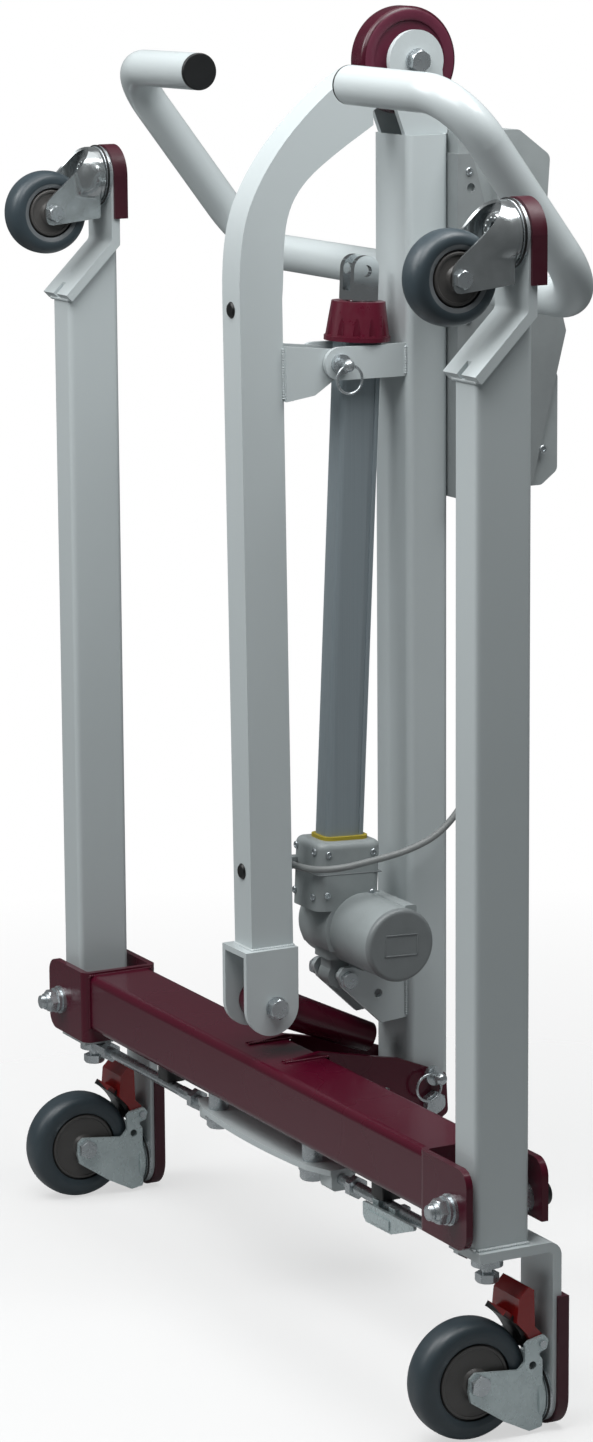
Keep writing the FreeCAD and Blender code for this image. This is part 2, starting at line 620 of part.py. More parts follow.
def make_brake_pedal():
    """Folded steel brake lever above the wheel with the black brake shoe under it."""
    half = 20.0
    wall = 2.2
    outer = [(12, 95), (14, 115), (23, 124), (28, 121), (29, 88), (22, 84)]
    inner = [(15, 92), (16.5, 113.5), (23.5, 121), (40, 118), (40, 80), (22, 80)]
    lever = yz_plate(outer, LEG_X - half, LEG_X + half)
    lever = lever.cut(yz_plate(inner, LEG_X - half + wall, LEG_X + half - wall))
    tab = yz_plate([(22, 84.5), (27, 92), (35, 84), (39, 79), (39, 70), (30, 69)], LEG_X + 14.3, LEG_X + 18.2)
    other = tab.copy()
    other.translate(V(-32.5, 0, 0))
    body = lever.fuse(tab).fuse(other).fuse(make_brake_shoe())
    return body.cut(cyl(3.05, (LEG_X - 40, BRAKE_Y, BRAKE_Z), (LEG_X + 40, BRAKE_Y, BRAKE_Z)))


def make_brake_pin():
    half = REAR_WHEEL_W / 2 + 5.5
    return cyl(3.0, (LEG_X - half - 2, BRAKE_Y, BRAKE_Z), (LEG_X + half + 2, BRAKE_Y, BRAKE_Z))


# ---------------------------------------------------------------- mast

def make_mast_tube():
    tube = box_tube(MAST_W, MAST_D, MAST_WALL, 0, MAST_Y0, MAST_BOTTOM_Z, MAST_TOP_Z, 6.0)
    sleeve = cyl(10.0, (-MAST_W / 2, MAST_PIVOT_Y, MAST_PIVOT_Z), (MAST_W / 2, MAST_PIVOT_Y, MAST_PIVOT_Z))
    bore = cyl(6.0 + RUN, (-40, MAST_PIVOT_Y, MAST_PIVOT_Z), (40, MAST_PIVOT_Y, MAST_PIVOT_Z))
    lock = cyl(4.0 + RUN, (-40, MAST_PIVOT_Y, MAST_LOCK_Z), (40, MAST_PIVOT_Y, MAST_LOCK_Z))
    return tube.fuse(sleeve).cut(bore).cut(lock)


def make_mast_head():
    """Fork at the top of the mast: two ears that carry the axle, joined by a throat plate."""
    y0 = MAST_Y0 + 3.0
    y1 = MAST_Y0 + MAST_D - 0.5
    r = 26.0
    side = [(y0, 985), (y1, 985), (y1 + 3, 1016), (y1 + 1, 1042), (TOP_Y + 24, TOP_Z),
            (TOP_Y + 16, TOP_Z + 20), (TOP_Y - 16, TOP_Z + 20), (TOP_Y - 25, TOP_Z - 2),
            (TOP_Y - 23, 1048), (y0, 1012)]
    ear = yz_plate(side, EAR_IN, EAR_OUT)
    dome = cyl(r, (EAR_IN, TOP_Y, TOP_Z), (EAR_OUT, TOP_Y, TOP_Z))
    ear = fillet(ear, 6.0, lambda e: along(X_AXIS)(e) and 1030 < e.CenterOfMass.z < 1060)
    ear = ear.fuse(dome)
    x_in = MAST_W / 2 - MAST_WALL
    packing = box(EAR_OUT, x_in, y0 + 4, y1 - 6, 985, 1012)
    throat = box(-EAR_IN, EAR_IN, y0 + 2, y1 - 6, 985, 1000)
    head = ear.fuse(mirrored(ear)).fuse(packing).fuse(mirrored(packing)).fuse(throat)
    head = head.common(box(-x_in, x_in, 60, y1 + 10, 985, 1200))
    inside = box(-x_in + 0.2, x_in - 0.2, MAST_Y0 + 4.5, MAST_Y0 + MAST_D - 4.5, 980, MAST_TOP_Z)
    above = box(-60, 60, 60, 220, MAST_TOP_Z, 1200)
    head = head.common(inside.fuse(above))
    return head.cut(cyl(AXLE_R + RUN, (-60, TOP_Y, TOP_Z), (60, TOP_Y, TOP_Z)))


def make_top_axle():
    half = EAR_OUT
    shank = cyl(AXLE_R, (-half - 10, TOP_Y, TOP_Z), (half + 2, TOP_Y, TOP_Z))
    head = hex_head(17.0, (half + 2, TOP_Y, TOP_Z), (half + 9, TOP_Y, TOP_Z))
    washer = ring(10.5, AXLE_R, (half, TOP_Y, TOP_Z), (half + 2, TOP_Y, TOP_Z))
    back_washer = ring(10.5, AXLE_R, (-half - 2, TOP_Y, TOP_Z), (-half, TOP_Y, TOP_Z))
    nut = hex_head(17.0, (-half - 2, TOP_Y, TOP_Z), (-half - 11, TOP_Y, TOP_Z)).cut(shank)
    return [shank.fuse(head), washer, back_washer, nut]


def make_top_wheel():
    w = TOP_WHEEL_W / 2
    body = cyl(TOP_WHEEL_R, (-w, TOP_Y, TOP_Z), (w, TOP_Y, TOP_Z))
    body = fillet(body, 5.0, lambda e: e.BoundBox.ZLength > 60)
    for side in (-1, 1):
        dish = ring(TOP_WHEEL_R - 12, 14.0, (side * (w - 3), TOP_Y, TOP_Z), (side * (w + 1), TOP_Y, TOP_Z))
        body = body.cut(dish)
    return body.cut(cyl(AXLE_R + RUN, (-40, TOP_Y, TOP_Z), (40, TOP_Y, TOP_Z)))


def make_guide_plate():
    """One of the two plates on the mast front that steer the actuator and take the boom lock pin."""
    y_pin = BOOM_PIN_Y
    z_pin = BOOM_PIN_Z
    plate = box(21.5, 26.0, y_pin, MAST_Y0, z_pin - 14, z_pin + 14)
    plate = plate.fuse(cyl(14.0, (21.5, y_pin, z_pin), (26.0, y_pin, z_pin)))
    return plate.cut(cyl(4.0 + RUN, (0, y_pin, z_pin), (60, y_pin, z_pin))).removeSplitter()


def make_foot_plate():
    """One of the two plates at the foot of the mast that hold the lower actuator pivot."""
    profile = [(MAST_Y0, 249), (90, 247), (52, 283), (47, 294), (52, 300.5), (62, 300.5), (72, 296),
               (MAST_Y0, 296)]
    plate = yz_plate(profile, 20.0, 25.0)
    plate = fillet(plate, 4.0, lambda e: along(X_AXIS)(e) and e.CenterOfMass.y < 80)
    plate = plate.cut(cyl(5.0 + RUN, (0, ACT_Y, ACT_Z), (60, ACT_Y, ACT_Z)))
    return plate.cut(cyl(4.0, (0, 87, 274), (60, 87, 274)))


def make_foot_bolt():
    shank = cyl(5.0, (-34, ACT_Y, ACT_Z), (25, ACT_Y, ACT_Z))
    head = hex_head(14.0, (25, ACT_Y, ACT_Z), (30.5, ACT_Y, ACT_Z))
    nut = hex_head(15.0, (-25, ACT_Y, ACT_Z), (-33, ACT_Y, ACT_Z)).cut(shank)
    return [shank.fuse(head), nut]


def handle_points():
    return [(MAST_W / 2, HANDLE_Y, HANDLE_Z), (292, HANDLE_Y, HANDLE_Z), (295, 8.5, 1064), (136, 2.4, 1066)]


def make_handle():
    return bent_tube(handle_points(), [52, 46], GRIP_R, GRIP_WALL)


def make_handle_cap():
    pts = handle_points()
    d = (V(*pts[3]) - V(*pts[2])).normalize()
    end = V(*pts[3])
    disc = Part.makeCylinder(GRIP_R, 3.0, end, d)
    plug = Part.makeCylinder(GRIP_R - GRIP_WALL, 14.0, end - d * 14, d)
    cap = disc.fuse(plug)
    return fillet(cap, 1.2, lambda e: (e.CenterOfMass - (end + d * 3)).Length < 0.5)


def make_box_mount():
    """Folded cradle on the back of the mast that carries the control box and the battery."""
    y0 = MAST_Y0 + MAST_D
    x_in = 42.0
    x_out = 45.0
    side = [(y0, BATTERY_Z0 - 5), (y0 + 68, BATTERY_Z0 - 5), (y0 + 75, 716), (y0 + 108, 845), (y0 + 104, 860),
            (y0 + 34, 880), (y0 + 26, 960), (y0 + 14, 1000), (y0, 1000)]
    plate = yz_plate(side, x_in, x_out)
    plate = fillet(plate, 5.0, lambda e: along(X_AXIS)(e) and e.CenterOfMass.y > y0 + 5)
    plate = plate.cut(cyl(4.0, (0, y0 + 13, 971), (60, y0 + 13, 971)))
    back = box(-x_in, x_in, y0, y0 + 3, BATTERY_Z0 - 5, 1000)
    shelf = box(-x_in, x_in, y0 + 3, y0 + 68, BATTERY_Z0 - 5, BATTERY_Z0 - 1)
    return back.fuse(shelf).fuse(plate).fuse(mirrored(plate))


def make_control_box():
    """Moulded control box, 3 mm thick: a body inside the cradle with a wider hood above it."""
    y0 = MAST_Y0 + MAST_D + 3.0
    body = yz_plate([(y0, 832), (y0 + 72, 832), (y0 + 72, 900), (y0, 900)], -41.5, 41.5)
    hood = yz_plate([(y0, 882), (y0 + 24, 882), (y0 + 33, 876), (y0 + 76, 872), (y0 + 85, 996),
                     (y0 + 54, 1019), (y0, 1019)], -41.5, 41.5)
    hood = fillet(hood, 8.0, lambda e: along(X_AXIS)(e) and e.CenterOfMass.y > y0 + 50
                  and e.CenterOfMass.z > 950)
    wide = yz_plate([(y0 + 33, 889), (y0 + 77, 884), (y0 + 85, 996), (y0 + 54, 1019),
                     (y0 + 33, 1019)], -50, 50)
    wide = fillet(wide, 8.0, lambda e: along(X_AXIS)(e) and e.CenterOfMass.y > y0 + 50
                  and e.CenterOfMass.z > 950)
    inside = yz_plate([(y0 + 3, 835), (y0 + 69, 835), (y0 + 69, 890), (y0 + 76, 905), (y0 + 81, 985),
                       (y0 + 50, 1010), (y0 + 3, 1010)], -38.5, 38.5)
    service_hole = box(-30, 30, y0 - 1, y0 + 4, 850, 985)
    return body.fuse(hood).fuse(wide).removeSplitter().cut(inside).cut(service_hole)


def make_battery():
    """Battery pack that rests on the cradle shelf and slides out at the back."""
    y0 = MAST_Y0 + MAST_D + 4.0
    z0 = BATTERY_Z0
    side = [(y0, z0), (y0 + 82, z0), (y0 + 98, z0 + 12), (y0 + 98, 806), (y0 + 90, 822), (y0, 828)]
    body = yz_plate(side, -41.0, 41.0)
    body = fillet(body, 7.0, lambda e: along(X_AXIS)(e) and e.CenterOfMass.y > y0 + 20)
    grip = box(-26, 26, y0 + 86, y0 + 120, 752, 770)
    return body.cut(grip)


def make_lock_pin(x_nose, x_seat, y, z, ring_x, ring_dy, ring_dz):
    """Pull pin along X: nose, shoulder, ball head and the split ring that hangs from it."""
    pin = cyl(4.0, (x_nose, y, z), (x_seat + 14, y, z))
    shoulder = cyl(8.5, (x_seat, y, z), (x_seat + 5, y, z))
    head = Part.makeSphere(5.5, V(x_seat + 15, y, z))
    loop = Part.makeTorus(12.0, 1.2, V(x_seat + ring_x, y + ring_dy, z + ring_dz), X_AXIS)
    return pin.fuse(shoulder).fuse(head).fuse(loop)


# ---------------------------------------------------------------- boom

def boom_front_y(z):
    return -38.0 + (886 - z) * math.tan(math.radians(BOOM_LEAN))


def boom_back_y(z):
    return boom_front_y(z) + BOOM_D


def boom_outline():
    """Outer and inner edge of the arched boom, from the straight part to the top hinge."""
    outer = [(boom_front_y(886), 886), (-36.4, 924), (-30.0, 955), (-15.0, 986), (9.0, 1018),
             (38.0, 1046), (62.0, 1064), (88.0, 1077)]
    inner = [(boom_back_y(884), 884), (4.4, 930), (11.5, 961), (26.0, 981), (46.0, 997),
             (68.0, 1011.5), (90.0, 1025)]
    return outer, inner


def boom_face(shrink, x):
    outer, inner = boom_outline()
    s = shrink
    a = V(x, boom_front_y(BOOM_BOTTOM_Z) + s, BOOM_BOTTOM_Z)
    b = V(x, boom_back_y(BOOM_BOTTOM_Z) - s, BOOM_BOTTOM_Z)
    out_pts = []
    for y, z in outer:
        k = min(1.0, max(0.0, (z - 900) / 150.0))
        out_pts.append(V(x, y + s * (1 - 0.45 * k), z - s * k))
    in_pts = []
    for y, z in inner:
        k = min(1.0, max(0.0, (z - 900) / 120.0))
        in_pts.append(V(x, y - s * (1 - 0.45 * k), z + s * k))
    out_curve = Part.BSplineCurve()
    out_curve.interpolate(out_pts)
    in_curve = Part.BSplineCurve()
    in_curve.interpolate(in_pts)
    edges = [Part.makeLine(b, a), Part.makeLine(a, out_pts[0]), out_curve.toShape(),
             Part.makeLine(out_pts[-1], in_pts[-1]), in_curve.toShape(), Part.makeLine(in_pts[0], b)]
    return Part.Face(Part.Wire(Part.__sortEdges__(edges)))


def make_boom_tube():
    half = BOOM_W / 2
    outer = boom_face(0.0, -half).extrude(V(BOOM_W, 0, 0))
    inner = boom_face(BOOM_WALL, -half + BOOM_WALL).extrude(V(BOOM_W - 2 * BOOM_WALL, 0, 0))
    tube = outer.cut(inner)
    swing = cyl(TOP_WHEEL_R + 3.0, (-40, TOP_Y, TOP_Z), (40, TOP_Y, TOP_Z))
    tube = tube.cut(swing)
    for z in PLUG_Z:
        y = boom_front_y(z)
        tube = tube.cut(cyl(5.0, (0, y - 10, z), (0, y + 10, z)))
    return tube


def make_boom_plugs():
    plugs = []
    for z in PLUG_Z:
        y = boom_front_y(z)
        stem = cyl(4.9, (0, y - 0.3, z), (0, y + 6, z))
        head = cone(5.5, 7.0, (0, y - 1.8, z), (0, y - 0.2, z))
        plugs.append(stem.fuse(head))
    return plugs


def make_boom_cheek():
    """Side plate of the boom end that passes beside the wheel to the top axle."""
    r = TOP_WHEEL_R + 3.0
    half = BOOM_W / 2
    wall = 2.4
    side = [(TOP_Y - r - 12, 1050), (TOP_Y - r + 2, 1053), (TOP_Y - 24, TOP_Z - 8), (TOP_Y - 6, TOP_Z + 14),
            (TOP_Y + 9, TOP_Z + 12), (TOP_Y + 14, TOP_Z - 8), (TOP_Y - 2, TOP_Z - 15),
            (TOP_Y - r + 4, 1032), (TOP_Y - r - 8, 1028)]
    cheek = yz_plate(side, half - wall, half)
    cheek = fillet(cheek, 4.0, lambda e: along(X_AXIS)(e) and e.CenterOfMass.y > TOP_Y - 10)
    cheek = cheek.cut(cyl(AXLE_R + RUN, (0, TOP_Y, TOP_Z), (60, TOP_Y, TOP_Z)))
    return cheek


def make_boom_hook():
    """Plate behind the boom that takes the actuator in use; its open hook clears the lock pin."""
    y_pin = BOOM_PIN_Y
    z_pin = BOOM_PIN_Z
    z0 = 797.0
    z1 = 844.0
    y_low = boom_back_y(z0) + 0.02
    y_high = boom_back_y(z1) + 0.02
    profile = [(y_low, z0), (y_high, z1), (30, z1 - 3), (y_pin + 8, 838), (y_pin + 9, 819), (y_pin, 815),
               (30, 801)]
    plate = yz_plate(profile, 16.3, 21.0)
    plate = fillet(plate, 4.0, lambda e: along(X_AXIS)(e) and e.CenterOfMass.y > 20)
    root = yz_plate([(y_low, z0), (y_high, z1), (12, z1 - 2), (12, z0)], BOOM_W / 2 - 4, 16.4)
    slot = box(10, 30, 0, 30, -4.8, 4.8).fuse(cyl(4.8, (10, 0, 0), (30, 0, 0)))
    slot.rotate(V(0, 0, 0), X_AXIS, -math.degrees(math.atan2(0.32, 0.95)))
    slot.translate(V(0, y_pin, z_pin))
    return plate.cut(slot).fuse(root)


def make_boom_clevis():
    """Plate folded over the boom's lower end with two ears for the hanger."""
    y0 = -41.0
    y1 = 9.5
    half = 22.5
    t = 5.0
    r = (y1 - y0) / 2
    cap = box(-half, half, y0, y1, BOOM_BOTTOM_Z - t, BOOM_BOTTOM_Z)
    ear = box(half - t, half, y0, y1, 249, BOOM_BOTTOM_Z)
    ear = fillet(ear, r - 0.2, lambda e: along(X_AXIS)(e) and e.CenterOfMass.z < 260)
    body = cap.fuse(ear).fuse(mirrored(ear))
    return body.cut(cyl(5.0 + RUN, (-60, HANGER_Y, HANGER_Z), (60, HANGER_Y, HANGER_Z)))


def make_hanger():
    """Tapered tube that carries the sling bar, swinging on the clevis bolt."""
    head = cyl(17.0, (-17, HANGER_Y, HANGER_Z), (17, HANGER_Y, HANGER_Z))
    head = fillet(head, 3.0, lambda e: e.BoundBox.ZLength > 30)
    a = V(0, HANGER_Y, HANGER_Z)
    d = V(0, math.cos(math.radians(HANGER_DROOP)), -math.sin(math.radians(HANGER_DROOP)))
    barrel = Part.makeCone(17.0, 13.5, 112.0, a, d)
    bore = Part.makeCylinder(10.0, 60.0, a + d * 60.0, d)
    body = head.fuse(barrel).cut(bore)
    return body.cut(cyl(5.0 + RUN, (-60, HANGER_Y, HANGER_Z), (60, HANGER_Y, HANGER_Z)))


def make_hanger_bolt():
    half = 22.5
    y = HANGER_Y
    z = HANGER_Z
    shank = cyl(5.0, (-half - 9, y, z), (half + 1.6, y, z))
    head = hex_head(16.0, (half + 1.6, y, z), (half + 8, y, z))
    washer = ring(10.0, 5.0, (half, y, z), (half + 1.6, y, z))
    nut = hex_head(16.0, (-half, y, z), (-half - 8, y, z)).cut(shank)
    return [shank.fuse(head), washer, nut]


# ---------------------------------------------------------------- actuator (drawn upright, then leaned)

def lean(shape):
    return tilt(shape, ACT_Y, ACT_Z, -ACT_LEAN)


def make_act_eye():
    """Rear eye of the actuator on the foot bolt."""
    eye = cyl(11.0, (-9, ACT_Y, ACT_Z), (9, ACT_Y, ACT_Z))
    shank = box(-9, 9, ACT_Y - 9, ACT_Y + 9, ACT_Z + 2, ACT_Z + 16)
    body = eye.fuse(shank)
    return body.cut(cyl(5.0 + RUN, (-60, ACT_Y, ACT_Z), (60, ACT_Y, ACT_Z)))


def make_act_housing():
    """Gear case: a block on the tube with the motor barrel lying across it."""
    z0 = ACT_Z + 16.0
    z1 = ACT_Z + 122.0
    y0 = ACT_Y - 33.0
    block = fillet(box(-24, 24, y0, ACT_Y + 30, ACT_Z + 62, z1), 9.0, along(Z_AXIS))
    block = fillet(block, 6.0, lambda e: e.CenterOfMass.z > z1 - 0.5)
    foot = fillet(box(-17, 17, ACT_Y - 14, ACT_Y + 22, z0, z0 + 40), 8.0, along(Z_AXIS))
    motor_y = ACT_Y + 13.0
    motor_z = ACT_Z + 44.0
    motor = cone(33.0, 31.5, (-36, motor_y, motor_z), (87, motor_y, motor_z))
    motor = fillet(motor, 5.0, lambda e: e.CenterOfMass.x < -35)
    hump = cyl(36.0, (-24, motor_y, motor_z), (24, motor_y, motor_z))
    hump = hump.cut(box(-30, 30, motor_y - 50, motor_y + 50, motor_z - 50, motor_z - 18))
    ridge = fillet(box(20, 80, motor_y + 9, motor_y + 21, motor_z + 20, motor_z + 32), 2.5, along(X_AXIS))
    body = block.fuse(foot).fuse(motor).fuse(hump).fuse(ridge)
    gland_z = ACT_Z + 98.5
    gland = cyl(5.0, (-25, GLAND_Y, gland_z), (-12, GLAND_Y, gland_z))
    saddle = box(-24, -14, GLAND_Y, y0 + 4, gland_z - 5, gland_z + 5)
    body = body.fuse(gland).fuse(saddle)
    return body.removeSplitter()


def make_act_motor_cap():
    motor_y = ACT_Y + 13.0
    motor_z = ACT_Z + 44.0
    cap = cyl(32.0, (87, motor_y, motor_z), (93, motor_y, motor_z))
    cap = fillet(cap, 3.5, lambda e: e.CenterOfMass.x > 92.5)
    return cap


def make_act_gasket():
    z1 = ACT_Z + 122.0
    body = box(-16, 16, ACT_Y - 22.5, ACT_Y + 22.5, z1, z1 + 3)
    return fillet(body, 9.0, along(Z_AXIS))


def make_act_tube():
    """Extruded tube with rounded corners, a groove down each side and a round bore."""
    z0 = ACT_Z + 125.0
    z1 = ACT_TUBE_TOP
    w = ACT_TUBE_W / 2
    d = ACT_TUBE_D / 2
    tube = fillet(box(-w, w, ACT_Y - d, ACT_Y + d, z0, z1), 5.0, along(Z_AXIS))
    for side in (-1, 1):
        groove = box(side * 12.0 - 1.2, side * 12.0 + 1.2, ACT_Y + 9, ACT_Y + 13, z0, z1)
        tube = tube.cut(groove)
    return tube.cut(cyl(ACT_ROD_R + RUN, (0, ACT_Y, z0), (0, ACT_Y, z1)))


def make_act_cap():
    """Fluted end cap that guides the rod."""
    z0 = ACT_TUBE_TOP
    z1 = 877.0
    cap = cone(27.5, 23.0, (0, ACT_Y, z0 + 4), (0, ACT_Y, z1))
    flange = cyl(28.5, (0, ACT_Y, z0), (0, ACT_Y, z0 + 4))
    body = cap.fuse(flange)
    for i in range(12):
        a = 2 * math.pi * i / 12
        c = V(28.8 * math.cos(a), ACT_Y + 28.8 * math.sin(a), z0 + 5)
        body = body.cut(Part.makeCylinder(3.8, 26, c, Z_AXIS))
    return body.cut(cyl(ACT_ROD_R + RUN, (0, ACT_Y, z0 - 1), (0, ACT_Y, z1 + 1)))


def make_act_rod():
    """Piston rod with its chromed fork end."""
    rod = cyl(ACT_ROD_R, (0, ACT_Y, 560), (0, ACT_Y, 880))
    fork = fillet(box(-12.5, 12.5, ACT_Y - 12, ACT_Y + 12, 878, 916), 11.5,
                  lambda e: along(X_AXIS)(e) and e.CenterOfMass.z > 900)
    fork = fork.cut(box(-6.5, 6.5, ACT_Y - 20, ACT_Y + 20, 886, 930))
    fork = fork.cut(cyl(5.1, (-40, ACT_Y, 903), (40, ACT_Y, 903)))
    return rod.fuse(fork)


# ---------------------------------------------------------------- cable

CABLE_POINTS = [(-11.6, 20.5, 390.2), (20, 18.5, 391.5), (42, 38, 394), (47, 70, 399), (47, 106, 404),
                (50, 137, 417), (51, 163, 447), (47, 182, 487), (41, 193, 537), (35, 199, 590),
                (31, 201.5, 640), (30, 202, 675), (30, 202, 706.7)]


def cable_radii():
    radii = []
    for i in range(1, len(CABLE_POINTS) - 1):
        a = V(*CABLE_POINTS[i]) - V(*CABLE_POINTS[i - 1])
        b = V(*CABLE_POINTS[i + 1]) - V(*CABLE_POINTS[i])
        run = min(a.Length, b.Length)
        turn = a.getAngle(b)
        radii.append(0.45 * run / math.tan(turn / 2))
    return radii


def make_cable():
    return bent_rod(CABLE_POINTS, cable_radii(), CABLE_R)


# ---------------------------------------------------------------- export

def build():
    nodes = {}
    leg_bolt = make_leg_bolt() + make_leg_spacers()
    nodes["base_crossbar"] = make_crossbar()
    nodes["leg_brackets"] = both_sides([make_leg_bracket()])
    nodes["base_bolts"] = group([both_sides(leg_bolt)] + make_mast_pivot_bolt() + make_spreader_hangers())
    nodes["mast_bracket"] = make_mast_bracket()
    nodes["spreader_plate"] = make_spreader_plate()
    nodes["tie_rod_right"] = make_tie_rod()
    nodes["spread_pedal"] = make_foot_pedal()

    nodes["leg_tube_right"] = make_leg_tube()
    nodes["front_bracket_right"] = make_front_bracket()
    nodes["rear_bracket_right"] = make_rear_bracket()
    nodes["bumpers_right"] = group([make_front_pad(), make_rear_pad()])
    nodes["leg_pins_right"] = group([make_swivel(FRONT_SWIVEL_Z, FRONT_PLATE_Y, 27.0, 11.6),
                                     make_swivel(REAR_SWIVEL_Z, REAR_PLATE_Y, 25.5, 11.6), make_heel_bolt()])

    half_f = FRONT_WHEEL_W / 2 + 4.8
    half_r = REAR_WHEEL_W / 2 + 5.5
    nodes["front_fork_right"] = make_front_fork()
    nodes["front_axle_right"] = group(make_axle(half_f, FRONT_WHEEL_Y, FRONT_WHEEL_Z, 4.0, 13.0))
    nodes["front_hub_right"] = make_hub(FRONT_WHEEL_W, FRONT_RIM_R, 4.0 + RUN, FRONT_WHEEL_Y, FRONT_WHEEL_Z)
    nodes["front_tyre_right"] = make_tyre(FRONT_WHEEL_W, FRONT_WHEEL_R, FRONT_RIM_R,
                                          FRONT_WHEEL_Y, FRONT_WHEEL_Z)
    nodes["rear_fork_right"] = make_rear_fork()
    rear_bolts = make_axle(half_r, REAR_WHEEL_Y, REAR_WHEEL_Z, 5.0, 16.0) + [make_brake_pin()]
    nodes["rear_axle_right"] = group(rear_bolts)
    nodes["rear_hub_right"] = make_hub(REAR_WHEEL_W, REAR_RIM_R, 5.0 + RUN, REAR_WHEEL_Y, REAR_WHEEL_Z)
    nodes["rear_tyre_right"] = make_tyre(REAR_WHEEL_W, REAR_WHEEL_R, REAR_RIM_R, REAR_WHEEL_Y, REAR_WHEEL_Z)
    nodes["brake_pedal_right"] = make_brake_pedal()

    for name in list(nodes):
        if name.endswith("_right"):
            nodes[name.replace("_right", "_left")] = mirrored(nodes[name])

    nodes["mast_tube"] = make_mast_tube()
    nodes["mast_head"] = make_mast_head()
    nodes["mast_bolts"] = group(make_top_axle() + make_foot_bolt())
    nodes["top_wheel"] = make_top_wheel()
    nodes["mast_lugs"] = both_sides([make_guide_plate(), make_foot_plate()])
    nodes["handlebar"] = both_sides([make_handle()])
    nodes["handle_end_caps"] = both_sides([make_handle_cap()])
    nodes["box_mount"] = make_box_mount()
    nodes["control_box"] = make_control_box()
    nodes["battery_pack"] = make_battery()
    x_mast = MAST_W / 2 + 1.0
    nodes["mast_lock_pin"] = make_lock_pin(x_mast, x_mast + MAST_PLATE_T, MAST_PIVOT_Y, MAST_LOCK_Z,
                                           9, -8.5, -8.5)
    nodes["boom_lock_pin"] = make_lock_pin(15.0, 26.0, BOOM_PIN_Y, BOOM_PIN_Z, 15, 1.0, -11.8)

    cheek = make_boom_cheek()
    nodes["boom_tube"] = make_boom_tube().fuse(cheek).fuse(mirrored(cheek))
    nodes["boom_plugs"] = group(make_boom_plugs())
    nodes["boom_bracket"] = both_sides([make_boom_hook()])
    nodes["boom_clevis"] = make_boom_clevis()
    nodes["hanger_bolt"] = group(make_hanger_bolt())
    nodes["hanger_tube"] = make_hanger()

    nodes["actuator_housing"] = lean(make_act_housing().fuse(make_act_eye()).fuse(make_act_motor_cap()))
    nodes["actuator_gasket"] = lean(make_act_gasket())
    nodes["actuator_tube"] = lean(make_act_tube())
    nodes["actuator_cap"] = lean(make_act_cap())
    nodes["actuator_rod"] = lean(make_act_rod())
    nodes["actuator_cable"] = make_cable()
    return nodes


def main():
    os.makedirs("parts", exist_ok=True)
    for old in os.listdir("parts"):
        os.remove(os.path.join("parts", old))
    total = None
    nodes = build()
    print("nodes", len(nodes))
    for name, shape in nodes.items():
        shape = shape.copy()
        shape.translate(V(0, FRAME_Y, 0))
        shape.exportStep("parts/" + name + ".step")
        b = shape.BoundBox
        if name != "actuator_cable":
            total = FreeCAD.BoundBox(b) if total is None else total.united(b)
        state = "ok" if shape.isValid() else "INVALID"
        print("%-24s %s solids %d vol %.1f cm3 x %.1f %.1f y %.1f %.1f z %.1f %.1f" % (
            name, state, len(shape.Solids), shape.Volume / 1000.0,
            b.XMin, b.XMax, b.YMin, b.YMax, b.ZMin, b.ZMax))
    print("all x %.2f %.2f y %.2f %.2f z %.2f %.2f" % (
        total.XMin, total.XMax, total.YMin, total.YMax, total.ZMin, total.ZMax))
    cable = make_cable()
    print("cable radii", ["%.0f" % r for r in cable_radii()])
    print("cable length from volume %.1f" % (cable.Volume / (math.pi * CABLE_R ** 2)))


main()
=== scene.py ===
"""Looks of the folded sit to stand lift: materials, small details, cable, light and camera."""
import json
import math
import random

import bmesh
import bpy
from mathutils import Matrix, Vector


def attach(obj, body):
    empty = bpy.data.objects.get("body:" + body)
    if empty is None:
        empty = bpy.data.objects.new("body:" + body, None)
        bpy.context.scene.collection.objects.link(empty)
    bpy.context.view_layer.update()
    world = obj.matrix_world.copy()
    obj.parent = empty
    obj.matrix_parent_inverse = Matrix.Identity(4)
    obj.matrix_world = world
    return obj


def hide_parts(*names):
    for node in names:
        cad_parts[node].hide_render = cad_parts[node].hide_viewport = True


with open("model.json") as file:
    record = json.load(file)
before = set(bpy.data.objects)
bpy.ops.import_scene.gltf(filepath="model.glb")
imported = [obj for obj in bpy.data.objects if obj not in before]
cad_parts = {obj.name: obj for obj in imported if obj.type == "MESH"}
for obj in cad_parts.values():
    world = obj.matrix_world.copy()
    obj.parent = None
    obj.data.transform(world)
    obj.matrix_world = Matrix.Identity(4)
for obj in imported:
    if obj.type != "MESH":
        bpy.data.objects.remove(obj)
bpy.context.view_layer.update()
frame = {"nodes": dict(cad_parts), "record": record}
nodes = frame["nodes"]
random.seed(7)

SIDES = ("right", "left")


# ---------------------------------------------------------------- materials

